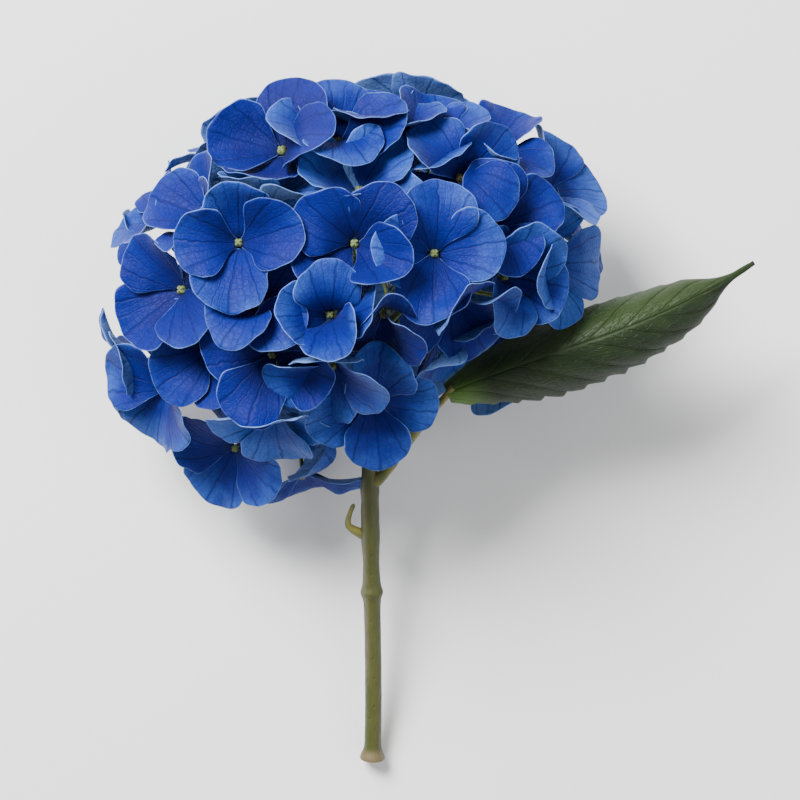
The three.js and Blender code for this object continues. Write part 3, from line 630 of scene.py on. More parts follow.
@dataclass(frozen=True)
class TableFinish(Finish):
    """The pale matt table top."""

    name: str = "table_pale"
    light: Color = rgb(0.90, 0.90, 0.90)
    grey: Color = rgb(0.87, 0.87, 0.875)
    cloud_scale: float = 6.0
    roughness: float = 0.85
    depth: float = 0.1 * MM

    def paint(self, graph: Graph, surface: bpy.types.Node) -> tuple[Any, Any, Any, float]:
        """Lays out the table's nodes; see the base class."""
        cloud = graph.noise(graph.place(), self.cloud_scale, 3.0)
        return graph.mix(cloud, self.light, self.grey), self.roughness, cloud, self.depth


class GeometryTool:
    """A geometry node tree with named inputs, run on an object and then taken off it."""

    title = "tool"
    inputs: dict[str, str] = {}

    def __init__(self) -> None:
        """Builds the tree and keeps each input's identifier."""
        tree = bpy.data.node_groups.new(self.title, "GeometryNodeTree")
        tree.interface.new_socket("Geometry", in_out="INPUT", socket_type="NodeSocketGeometry")
        self.identifiers = {}
        for name, kind in {**self.inputs, "Finish": "NodeSocketMaterial"}.items():
            made = tree.interface.new_socket(name, in_out="INPUT", socket_type=kind)
            self.identifiers[name] = made.identifier
        tree.interface.new_socket("Geometry", in_out="OUTPUT", socket_type="NodeSocketGeometry")
        self.tree = tree
        graph = Graph(tree)
        given = graph.add("NodeGroupInput").outputs
        shaped = self.shape(graph, given)
        smooth = graph.add("GeometryNodeSetShadeSmooth", {0: shaped}).outputs[0]
        real = graph.add("GeometryNodeRealizeInstances", {0: smooth}).outputs[0]
        inputs = {"Geometry": real, "Material": given["Finish"]}
        graph.add("NodeGroupOutput", {0: graph.add("GeometryNodeSetMaterial", inputs).outputs[0]})

    def shape(self, graph: Graph, given: Any) -> bpy.types.NodeSocket:
        """Lays out the tool's nodes.

        Args:
            graph: Where the nodes go.
            given: The group's inputs, by name.

        Returns:
            The finished geometry's socket.
        """
        raise NotImplementedError

    def run(self, source: bpy.types.Object, finish: Finish, **values: float) -> bpy.types.Object:
        """Runs the tree on an object and leaves it a plain mesh.

        Args:
            source: The object, whose mesh is the input.
            finish: What the result is dressed in.
            **values: A value for each named input, with _ for a space.

        Returns:
            The same object.
        """
        modifier = source.modifiers.new(self.title, "NODES")
        modifier.node_group = self.tree
        modifier[self.identifiers["Finish"]] = finish.material()
        for name, value in values.items():
            modifier[self.identifiers[name.replace("_", " ")]] = value
        view = bpy.context.evaluated_depsgraph_get()
        made = bpy.data.meshes.new_from_object(
            source.evaluated_get(view), preserve_all_data_layers=True, depsgraph=view
        )
        source.modifiers.clear()
        made.name = source.name
        source.data = made
        return source


def named_number(graph: Graph, name: str) -> bpy.types.NodeSocket:
    """Returns the field of a number stored on the geometry."""
    node = graph.add("GeometryNodeInputNamedAttribute", {"Name": name}, data_type="FLOAT")
    return node.outputs["Attribute"]


def stored(graph: Graph, geometry: Any, name: str, value: Any, domain: str) -> bpy.types.NodeSocket:
    """Stores a number on the geometry.

    Args:
        graph: Where the node goes.
        geometry: The geometry.
        name: What the number is called.
        value: The number's field.
        domain: What each number belongs to, a point or a face.

    Returns:
        The geometry with the number.
    """
    inputs = {"Geometry": geometry, "Name": name, "Value": value}
    node = graph.add("GeometryNodeStoreNamedAttribute", inputs, data_type="FLOAT", domain=domain)
    return node.outputs[0]


class BladeTool(GeometryTool):
    """Turns a one-sided sheet into a closed blade: ruffled towards its edge and thin at its rim."""

    title = "blade"
    inputs = {
        "Thickness": "NodeSocketFloat",
        "Ruffle": "NodeSocketFloat",
        "Ruffle Scale": "NodeSocketFloat",
        "Seed": "NodeSocketFloat",
    }
    noise_detail = 1.5
    rim_curve = 6.0
    rim_loss = 0.45

    def shape(self, graph: Graph, given: Any) -> bpy.types.NodeSocket:
        """Lays out the blade's nodes.

        Args:
            graph: Where the nodes go.
            given: The tree's inputs, by name.

        Returns:
            The finished geometry.
        """
        edge = named_number(graph, "edge")
        normal = graph.add("GeometryNodeInputNormal").outputs[0]
        place = graph.add("GeometryNodeInputPosition").outputs[0]
        noise = graph.add(
            "ShaderNodeTexNoise",
            {
                "Vector": place,
                "W": given["Seed"],
                "Scale": given["Ruffle Scale"],
                "Detail": self.noise_detail,
            },
            noise_dimensions="4D",
        ).outputs[0]
        wave = graph.times(graph.minus(noise, 0.5), given["Ruffle"])
        wave = graph.times(wave, graph.times(edge, edge))
        wave = graph.times(wave, named_number(graph, "free"))
        inputs = {"Geometry": given["Geometry"], "Offset": graph.scaled(normal, wave)}
        moved = graph.add("GeometryNodeSetPosition", inputs).outputs[0]
        thin = graph.minus(1.0, graph.times(graph.math("POWER", edge, self.rim_curve), self.rim_loss))
        grown = graph.add(
            "GeometryNodeExtrudeMesh",
            {"Mesh": moved, "Offset Scale": graph.times(given["Thickness"], thin), "Individual": False},
            mode="FACES",
        )
        level = graph.plus(grown.outputs["Top"], graph.times(grown.outputs["Side"], 0.5))
        top = stored(graph, grown.outputs["Mesh"], "front", level, "FACE")
        back = graph.add("GeometryNodeFlipFaces", {"Mesh": moved}).outputs[0]
        under = stored(graph, back, "front", 0.0, "FACE")
        both = graph.add("GeometryNodeJoinGeometry")
        graph.feed(both.inputs[0], top)
        graph.feed(both.inputs[0], under)
        inputs = {"Geometry": both.outputs[0], "Distance": WELD}
        return graph.add("GeometryNodeMergeByDistance", inputs).outputs[0]


class SweepTool(GeometryTool):
    """Sweeps a round section along each line of the input, with the line's own radii and uneven bark."""

    title = "sweep"
    inputs = {"Sides": "NodeSocketInt", "Bark": "NodeSocketFloat", "Bark Scale": "NodeSocketFloat"}
    draw = (1.0, 0.3, 1.0)

    def shape(self, graph: Graph, given: Any) -> bpy.types.NodeSocket:
        """Lays out the sweep's nodes.

        Args:
            graph: Where the nodes go.
            given: The tree's inputs, by name.

        Returns:
            The finished geometry.
        """
        line = graph.add("GeometryNodeMeshToCurve", {0: given["Geometry"]}).outputs[0]
        width = named_number(graph, "width")
        sized = graph.add("GeometryNodeSetCurveRadius", {"Curve": line, "Radius": width}).outputs[0]
        inputs = {"Resolution": given["Sides"], "Radius": 1.0}
        ring = graph.add("GeometryNodeCurvePrimitiveCircle", inputs).outputs[0]
        inputs = {"Curve": sized, "Profile Curve": ring, "Scale": width, "Fill Caps": True}
        tube = graph.add("GeometryNodeCurveToMesh", inputs).outputs[0]
        place = graph.add("GeometryNodeInputPosition").outputs[0]
        drawn = graph.vector("MULTIPLY", place, self.draw)
        noise = graph.noise(drawn, given["Bark Scale"])
        rise = graph.times(graph.minus(noise, 0.5), given["Bark"])
        normal = graph.add("GeometryNodeInputNormal").outputs[0]
        facing = graph.add("ShaderNodeSeparateXYZ", {0: normal}).outputs[0]
        marked = stored(graph, tube, "side", graph.times(facing, -1.0), "POINT")
        inputs = {"Geometry": marked, "Offset": graph.scaled(normal, rise)}
        return graph.add("GeometryNodeSetPosition", inputs).outputs[0]


class BudTool(GeometryTool):
    """Sets a small four-lobed bud on each point of the input, turned the way the point faces."""

    title = "bud_setter"
    inputs = {
        "Radius": "NodeSocketFloat",
        "Lobes": "NodeSocketFloat",
        "Squash": "NodeSocketFloat",
        "Segments": "NodeSocketInt",
        "Rings": "NodeSocketInt",
    }
    seam_curve = 6.0
    seam_height = (-0.55, 0.35)

    def shape(self, graph: Graph, given: Any) -> bpy.types.NodeSocket:
        """Lays out the bud's nodes.

        Args:
            graph: Where the nodes go.
            given: The tree's inputs, by name.

        Returns:
            The finished geometry.
        """
        inputs = {name: given[name] for name in ("Segments", "Rings", "Radius")}
        ball = graph.add("GeometryNodeMeshUVSphere", inputs).outputs[0]
        place = graph.add("GeometryNodeInputPosition").outputs[0]
        parts = graph.add("ShaderNodeSeparateXYZ", {0: place})
        turn = graph.math("ARCTAN2", parts.outputs[1], parts.outputs[0])
        cosine = graph.math("ABSOLUTE", graph.math("COSINE", graph.times(turn, 2.0)))
        groove = graph.math("POWER", cosine, self.seam_curve)
        upper = graph.ramp(graph.math("DIVIDE", parts.outputs[2], given["Radius"]), *self.seam_height)
        groove = graph.times(groove, upper)
        shrink = graph.times(graph.times(groove, given["Lobes"]), -1.0)
        pressed = graph.scaled(place, shrink)
        flat = graph.add("ShaderNodeCombineXYZ", {2: graph.times(parts.outputs[2], given["Squash"])})
        offset = graph.vector("ADD", pressed, flat.outputs[0])
        seamed = stored(graph, ball, "groove", groove, "POINT")
        lobed = graph.add("GeometryNodeSetPosition", {"Geometry": seamed, "Offset": offset})
        inputs = {"Name": "facing"}
        facing = graph.add("GeometryNodeInputNamedAttribute", inputs, data_type="FLOAT_VECTOR")
        inputs = {"Vector": facing.outputs["Attribute"]}
        spin = graph.add("FunctionNodeAlignRotationToVector", inputs, axis="Z")
        inputs = {
            "Points": given["Geometry"],
            "Instance": lobed.outputs[0],
            "Rotation": spin.outputs[0],
            "Scale": named_number(graph, "size"),
        }
        return graph.add("GeometryNodeInstanceOnPoints", inputs).outputs[0]


class CadMesh:
    """The welded surface of one CAD node."""

    def __init__(self, node: str) -> None:
        """Reads the node's vertices and joins those that meet.

        Args:
            node: The node's name in the frame.
        """
        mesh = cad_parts[node].data
        loose = np.empty(len(mesh.vertices) * 3)
        mesh.vertices.foreach_get("co", loose)
        mesh.calc_loop_triangles()
        corners = np.empty(len(mesh.loop_triangles) * 3, dtype=int)
        mesh.loop_triangles.foreach_get("vertices", corners)
        keys, inverse = np.unique(np.round(loose.reshape(-1, 3) / WELD), axis=0, return_inverse=True)
        self.points = keys * WELD
        self.triangles = inverse.reshape(-1)[corners].reshape(-1, 3)
        ends = np.vstack([self.triangles[:, pair] for pair in ([0, 1], [1, 2], [2, 0])])
        self.edges = np.unique(np.sort(ends, axis=1), axis=0)

    def sampled(self, count: int, seed: int) -> np.ndarray:
        """Spreads points evenly over the surface.

        Args:
            count: How many points.
            seed: The seed of their random places.

        Returns:
            The points.
        """
        random = np.random.default_rng(seed)
        a, b, c = (self.points[self.triangles[:, k]] for k in range(3))
        area = np.linalg.norm(np.cross(b - a, c - a), axis=1)
        chosen = random.choice(len(area), count, p=area / area.sum())
        u, v = random.random((2, count))
        over = u + v > 1
        u[over], v[over] = 1 - u[over], 1 - v[over]
        return a[chosen] + u[:, None] * (b - a)[chosen] + v[:, None] * (c - a)[chosen]

    def groups(self, kept: np.ndarray) -> list[np.ndarray]:
        """Splits the kept vertices into joined groups.

        Args:
            kept: Which vertices take part, as booleans.

        Returns:
            The vertex numbers of each group.
        """
        label = np.where(kept, np.arange(len(kept)), -1)
        inner = self.edges[kept[self.edges].all(axis=1)]
        while True:
            low = np.minimum(label[inner[:, 0]], label[inner[:, 1]])
            before = label.copy()
            np.minimum.at(label, inner[:, 0], low)
            np.minimum.at(label, inner[:, 1], low)
            if (label == before).all():
                break
        return [np.flatnonzero(label == value) for value in np.unique(label[kept])]


@dataclass
class TubeLine:
    """Finds the centre line and radii of a tubular CAD node."""

    step: float = 2.6 * MM
    samples: int = 9000
    rounds: int = 5
    seed: int = 11
    fewest: int = 5
    thin_out: int = 8
    end_reach: float = 2.5
    end_rest: float = 0.4
    band: float = 0.6
    skin_percentile: float = 80.0

    def follow(self, node: str) -> tuple[np.ndarray, np.ndarray]:
        """Follows a node from one end to the other.

        Args:
            node: The CAD node's name.

        Returns:
            The line's points, and the tube's radius at each.
        """
        points = CadMesh(node).sampled(self.samples, self.seed)
        centre = points.mean(axis=0)
        axis = np.linalg.svd(points[:: self.thin_out] - centre, full_matrices=False)[2][0]
        reach = (points - centre) @ axis
        count = max(int(np.ptp(reach) / self.step), self.fewest)
        line = centre + np.linspace(reach.min(), reach.max(), count)[:, None] * axis
        for _ in range(self.rounds):
            place, away = self.project(points, line)
            count = max(int(place.max() / self.step), self.fewest)
            bins = np.minimum((place / place.max() * count).astype(int), count - 1)
            line = np.array([points[bins == k].mean(axis=0) for k in range(count) if (bins == k).any()])
            line[1:-1] = 0.5 * line[1:-1] + 0.25 * (line[:-2] + line[2:])
        for end, inner in ((0, 1), (-1, -2)):
            out = unit(line[end] - line[inner])
            near = points[np.linalg.norm(points - line[end], axis=1) < self.end_reach * self.step]
            line[end] = line[end] + out * max(float(((near - line[end]) @ out).max()), 0.0)
        place, away = self.project(points, line)
        lengths = np.concatenate([[0], np.cumsum(np.linalg.norm(np.diff(line, axis=0), axis=1))])
        radii = []
        margin = self.step * self.end_rest
        for at in lengths:
            near = np.abs(place - np.clip(at, margin, lengths[-1] - margin)) < self.step * self.band
            inside = away[near] if near.any() else away
            radii.append(np.percentile(inside, self.skin_percentile if near.any() else 50))
        return line, np.array(radii)

    @staticmethod
    def project(points: np.ndarray, line: np.ndarray) -> tuple[np.ndarray, np.ndarray]:
        """Measures points against a line.

        Args:
            points: The points.
            line: The points of the line, in order.

        Returns:
            How far along the line each point is, and how far from it.
        """
        starts, spans = line[:-1], np.diff(line, axis=0)
        lengths = np.linalg.norm(spans, axis=1)
        before = np.concatenate([[0], np.cumsum(lengths)])[:-1]
        offset = points[:, None, :] - starts[None]
        share = np.clip((offset * spans).sum(axis=2) / np.maximum(lengths**2, 1e-12), 0, 1)
        away = np.linalg.norm(offset - share[..., None] * spans, axis=2)
        nearest = away.argmin(axis=1)
        rows = np.arange(len(points))
        return before[nearest] + share[rows, nearest] * lengths[nearest], away[rows, nearest]


def make_object(
    name: str,
    points: np.ndarray,
    edges: np.ndarray | None = None,
    faces: np.ndarray | None = None,
    numbers: dict[str, np.ndarray] | None = None,
    fan: np.ndarray | None = None,
) -> bpy.types.Object:
    """Makes a mesh object at the origin.

    Args:
        name: The object's name.
        points: The vertices, one row each.
        edges: Pairs of vertices, where the mesh is made of lines.
        faces: Quads of vertices, where the mesh is a sheet.
        numbers: Values or vectors stored on each vertex, by name.
        fan: The flat coordinates of each vertex, kept as the UV map that the vein patterns follow.

    Returns:
        The object, linked to the scene.
    """
    mesh = bpy.data.meshes.new(name)
    lines = [] if edges is None else edges.tolist()
    sheets = [] if faces is None else faces.tolist()
    mesh.from_pydata(points.tolist(), lines, sheets)
    for key, values in (numbers or {}).items():
        vector = values.ndim == 2
        made = mesh.attributes.new(key, "FLOAT_VECTOR" if vector else "FLOAT", "POINT")
        flat = np.ascontiguousarray(values, dtype=float).ravel()
        made.data.foreach_set("vector" if vector else "value", flat)
    if fan is not None:
        layer = mesh.uv_layers.new(name=FAN_MAP)
        corners = np.empty(len(mesh.loops), dtype=int)
        mesh.loops.foreach_get("vertex_index", corners)
        layer.data.foreach_set("uv", fan[corners].ravel())
    made_object = bpy.data.objects.new(name, mesh)
    bpy.context.scene.collection.objects.link(made_object)
    return made_object


def settled(points: np.ndarray, rest: float = 0.9 * MM, soft: float = 3.0 * MM) -> np.ndarray:
    """Lets the lowest points lie on the table.

    Args:
        points: The points, one row each.
        rest: The lowest height that is left.
        soft: Below this height the points start to give way.

    Returns:
        The points, none below the lowest height.
    """
    room = soft - rest
    low = points[:, 2] < soft
    points[low, 2] = rest + room * np.exp((points[low, 2] - soft) / room)
    return points


def grid_faces(rows: int, columns: int) -> np.ndarray:
    """Returns the quads of a grid of vertices that is numbered row by row."""
    corner = (np.arange(rows - 1)[:, None] * columns + np.arange(columns - 1)[None]).ravel()
    return np.stack([corner, corner + columns, corner + columns + 1, corner + 1], axis=1)


@dataclass
class ThinPlate:
    """A smooth height over a plane that follows scattered heights, in millimetres."""

    places: np.ndarray
    heights: np.ndarray
    stiffness: float = 0.6
    reach: float = 10.0
    weights: np.ndarray = field(init=False)

    def __post_init__(self) -> None:
        """Solves for the plate's weights."""
        count = len(self.places)
        kernel = self.kernel(self.places) + self.stiffness * np.eye(count)
        flat = np.hstack([np.ones((count, 1)), self.places])
        system = np.block([[kernel, flat], [flat.T, np.zeros((3, 3))]])
        wanted = np.concatenate([self.heights, np.zeros(3)])
        self.weights = np.linalg.lstsq(system, wanted, rcond=None)[0]

    def kernel(self, places: np.ndarray) -> np.ndarray:
        """Returns the plate's bending kernel between places and its own points."""
        square = ((places[:, None, :] - self.places[None]) ** 2).sum(axis=2) / self.reach**2
        return 0.5 * square * np.log(square + 1e-9)

    def at(self, places: np.ndarray) -> np.ndarray:
        """Returns the heights at places."""
        flat = np.hstack([np.ones((len(places), 1)), places])
        return self.kernel(places) @ self.weights[:-3] + flat @ self.weights[-3:]


@dataclass
class SepalShape:
    """One sepal's own plane, its fitted surface and its reach in each direction, in metres."""

    origin: np.ndarray
    along: np.ndarray
    across: np.ndarray
    up: np.ndarray
    plate: ThinPlate
    length: float
    left: float
    right: float


@dataclass
class FloretReader:
    """Reads a floret's eye, facing, stalk and sepals from its CAD node."""

    crown_reach: float = 2.136 * MM
    crown_height: float = 2.72 * MM
    eye_radius: float = 2.9 * MM
    stalk_side: float = 4.5 * MM
    ring_gap: float = 2.5 * MM
    same_sepal: float = 35.0
    cup: float = 0.3
    crown_slack: float = 0.25 * MM
    stalk_depth: tuple[float, float] = (3 * MM, 16 * MM)
    stalk_top: tuple[float, float] = (0.3 * MM, 1.8 * MM)
    short_stalk: float = 9 * MM
    most_sepals: int = 4
    fewest_vertices: int = 6
    length_range: tuple[float, float] = (0.77, 1.12)
    width_range: tuple[float, float] = (0.80, 1.2)

    def read(self, node: str) -> tuple[np.ndarray, np.ndarray, np.ndarray, list[SepalShape]]:
        """Reads one floret.

        Args:
            node: The CAD node's name.

        Returns:
            The eye's place, the way it faces, the stalk's line, and the sepals.
        """
        mesh = CadMesh(node)
        points = mesh.points
        eye, facing = self.find_eye(mesh)
        apart = points - eye
        outer = np.linalg.norm(apart, axis=1) > self.eye_radius
        groups = mesh.groups(outer)
        depth = -(apart @ facing)
        lateral = np.linalg.norm(apart + depth[:, None] * facing, axis=1)
        near, far = self.stalk_depth
        inside = outer & (depth > near) & (depth < far) & (lateral < self.stalk_side)
        stalk_group = None
        if inside.any():
            nearest = np.flatnonzero(inside)[lateral[inside].argmin()]
            stalk_group = next(group for group in groups if nearest in group)
            groups = [group for group in groups if group is not stalk_group]
        stalk = self.stalk_line(points, stalk_group, eye, facing)
        sepals = []
        for members in self.merged(points, groups, eye, facing):
            sepals.append(self.fit_sepal(mesh, members, eye, facing, outer))
        return eye, facing, stalk, self.even(sepals)

    def find_eye(self, mesh: CadMesh) -> tuple[np.ndarray, np.ndarray]:
        """Finds the eye from its crown vertex and the ring of vertices round it.

        Args:
            mesh: The floret's solid.

        Returns:
            The eye's centre and the way it faces.
        """
        a, b = mesh.points[mesh.edges[:, 0]], mesh.points[mesh.edges[:, 1]]
        fits = np.abs(np.linalg.norm(a - b, axis=1) - self.crown_reach) < self.crown_slack
        counts = np.bincount(mesh.edges[fits].ravel(), minlength=len(mesh.points))
        crown = int(counts.argmax())
        spokes = mesh.edges[fits & (mesh.edges == crown).any(axis=1)]
        ring = spokes[spokes != crown]
        facing = unit(mesh.points[crown] - mesh.points[ring].mean(axis=0))
        return mesh.points[crown] - facing * self.crown_height, facing

    def stalk_line(
        self, points: np.ndarray, group: np.ndarray | None, eye: np.ndarray, facing: np.ndarray
    ) -> np.ndarray:
        """Finds the middle of the stalk.

        Args:
            points: The floret's vertices.
            group: Which of them are the stalk's, or None where none was found.
            eye: The eye's centre.
            facing: The way that the eye faces.

        Returns:
            The points of the stalk's middle, from the eye down.
        """
        line = [eye - facing * depth for depth in self.stalk_top]
        if group is not None and len(group) > 2:
            away = np.linalg.norm(points[group] - eye, axis=1)
            order = group[away.argsort()]
            away = np.sort(away)
            rings = np.split(order, np.flatnonzero(np.diff(away) > self.ring_gap) + 1)
            line += [points[ring].mean(axis=0) for ring in rings if len(ring) > 2]
        if len(line) < 3:
            line.append(eye - facing * self.short_stalk)
        return np.array(line)

    def merged(
        self, points: np.ndarray, groups: list[np.ndarray], eye: np.ndarray, facing: np.ndarray
    ) -> list[np.ndarray]:
        """Joins the groups that belong to one sepal, by their bearing round the eye.

        Args:
            points: The floret's vertices.
            groups: The vertices of each connected patch.
            eye: The eye's centre.
            facing: The way that the eye faces.

        Returns:
            The vertices of each sepal.
        """
        side = unit(np.cross(facing, OBLIQUE))
        other = np.cross(facing, side)
        found: list[tuple[float, np.ndarray]] = []
        for group in sorted(groups, key=len, reverse=True):
            middle = points[group].mean(axis=0) - eye
            bearing = math.degrees(math.atan2(middle @ other, middle @ side))
            for index, (angle, members) in enumerate(found):
                if abs((bearing - angle + 180) % 360 - 180) < self.same_sepal:
                    found[index] = (angle, np.concatenate([members, group]))
                    break
            else:
                if len(found) < self.most_sepals and len(group) >= self.fewest_vertices:
                    found.append((bearing, group))
        return [members for _, members in found]

    def fit_sepal(
        self, mesh: CadMesh, members: np.ndarray, eye: np.ndarray, facing: np.ndarray, outer: np.ndarray
    ) -> SepalShape:
        """Fits a sepal's surface to its vertices.

        Args:
            mesh: The floret's surface.
            members: The vertices of the sepal beyond the eye.
            eye: The eye's centre.
            facing: The way the eye faces.
            outer: Which vertices lie beyond the eye.

        Returns:
            The sepal's plane, surface and reach.
        """
        own = mesh.points[members]
        touching = mesh.edges[np.isin(mesh.edges, members).any(axis=1)]
        claws = np.setdiff1d(np.unique(touching), members)
        claws = claws[~outer[claws]]
        used = np.vstack([own, mesh.points[claws]])
        middle = own.mean(axis=0)
        heading = unit(middle - eye)
        up = np.linalg.svd(used - used.mean(axis=0), full_matrices=False)[2][2]
        radial = unit(heading - (heading @ facing) * facing)
        if up @ (facing - self.cup * radial) < 0:
            up = -up
        along = unit(heading - (heading @ up) * up)
        across = np.cross(up, along)
        apart = used - eye
        flat = np.stack([apart @ along, apart @ across], axis=1)
        plate = ThinPlate(flat / MM, apart @ up / MM)
        own_flat = flat[: len(own)]
        length, left, right = own_flat[:, 0].max(), -own_flat[:, 1].min(), own_flat[:, 1].max()
        return SepalShape(eye, along, across, up, plate, length, left, right)

    def even(self, sepals: list[SepalShape]) -> list[SepalShape]:
        """Gives a sepal that a neighbour cut short most of its siblings' reach.

        Args:
            sepals: The floret's sepals.

        Returns:
            The same sepals, evened out.
        """
        length = float(np.median([s.length for s in sepals]))
        half = float(np.median([w for s in sepals for w in (s.left, s.right)]))
        (shortest, longest), (narrowest, widest) = self.length_range, self.width_range
        for sepal in sepals:
            sepal.length = min(max(sepal.length, shortest * length), longest * length)
            sepal.left = min(max(sepal.left, narrowest * half), widest * half)
            sepal.right = min(max(sepal.right, narrowest * half), widest * half)
        return sepals


@dataclass
class SepalSheet:
    """Draws a sepal as a fine sheet on its fitted surface."""

    grid: int = 25
    claw: float = 0.50
    broad: float = 1.05
    fan_root: float = 0.10
    fan_spread: float = 1.25
    stack: float = 0.12 * MM
    frill: float = 0.28 * MM
    foot: float = 0.6 * MM
    reach_curve: float = 0.88
    reach_limit: float = 1.08
    shoulder: float = 0.80
    outer_flare: float = 0.10
    # The outline's unevenness: waves round the edge and how far each swells it.
    waves: tuple[tuple[int, float], ...] = ((3, 0.028), (5, 0.016), (11, 0.009))
    tip_swell: float = 0.035
    tip_width: float = 0.22
    # The least and the most that a sepal's sides rise, its tip rolls and it twists.
    curl_least: tuple[float, float, float] = (1.0, -2.9, -1.3)
    curl_most: tuple[float, float, float] = (3.3, 0.6, 1.3)

    def draw(
        self, sepal: SepalShape, rank: int, random: np.random.Generator
    ) -> tuple[np.ndarray, np.ndarray, np.ndarray]:
        """Draws one sepal.

        Args:
            sepal: The sepal's plane, surface and reach.
            rank: Which of the four it is, so that their bases lie on each other.
            random: Where its small irregularities come from.

        Returns:
            The vertices, how near each is to the edge, and its fan coordinates.
        """
        p, q = np.meshgrid(np.linspace(-1, 1, self.grid), np.linspace(-1, 1, self.grid), indexing="ij")
        x = (p * np.sqrt(1 - q**2 / 2)).ravel()
        y = (q * np.sqrt(1 - p**2 / 2)).ravel()
        edge = np.clip(np.hypot(x, y), 0, 1)
        bearing = np.arctan2(y, x)
        phases = random.random(len(self.waves)) * 2 * np.pi
        uneven = self.tip_swell * np.exp(-((bearing / self.tip_width) ** 2))
        for phase, (count, swing) in zip(phases, self.waves):
            uneven += swing * np.sin(count * bearing + phase)
        swell = 1 + edge**2 * uneven
        x, y = x * swell, y * swell
        share = np.clip((x + 1) / 2, 0, self.reach_limit)
        s = self.foot + (sepal.length - self.foot) * share**self.reach_curve
        opened = np.clip((x + 1) / self.shoulder, 0, 1)
        narrow = self.claw + (1 - self.claw) * opened * opened * (3 - 2 * opened)
        flare = 1 + self.outer_flare * np.clip(x, 0, 1)
        half = np.where(y < 0, sepal.left, sepal.right) * self.broad * flare
        w = y * narrow * half
        h = sepal.plate.at(np.stack([s, w], axis=1) / MM) * MM
        h -= rank * self.stack * (1 - share)
        spoon, roll, twist = random.uniform(self.curl_least, self.curl_most) * MM
        h += spoon * y**2 * narrow + roll * share**4 + twist * share**2 * y
        frill = np.sin(6 * bearing + 2 * phases[0]) + 0.7 * np.sin(9 * bearing + 3 * phases[1])
        h += self.frill * frill * edge**4 * narrow
        points = sepal.origin + s[:, None] * sepal.along + w[:, None] * sepal.across
        points = settled(points + h[:, None] * sepal.up)
        root = self.fan_root * sepal.length
        angle = np.arctan2(w, s + root) / self.fan_spread
        reach = np.hypot(w, s + root) / (sepal.length + root)
        return points, edge, np.stack([angle, reach], axis=1)


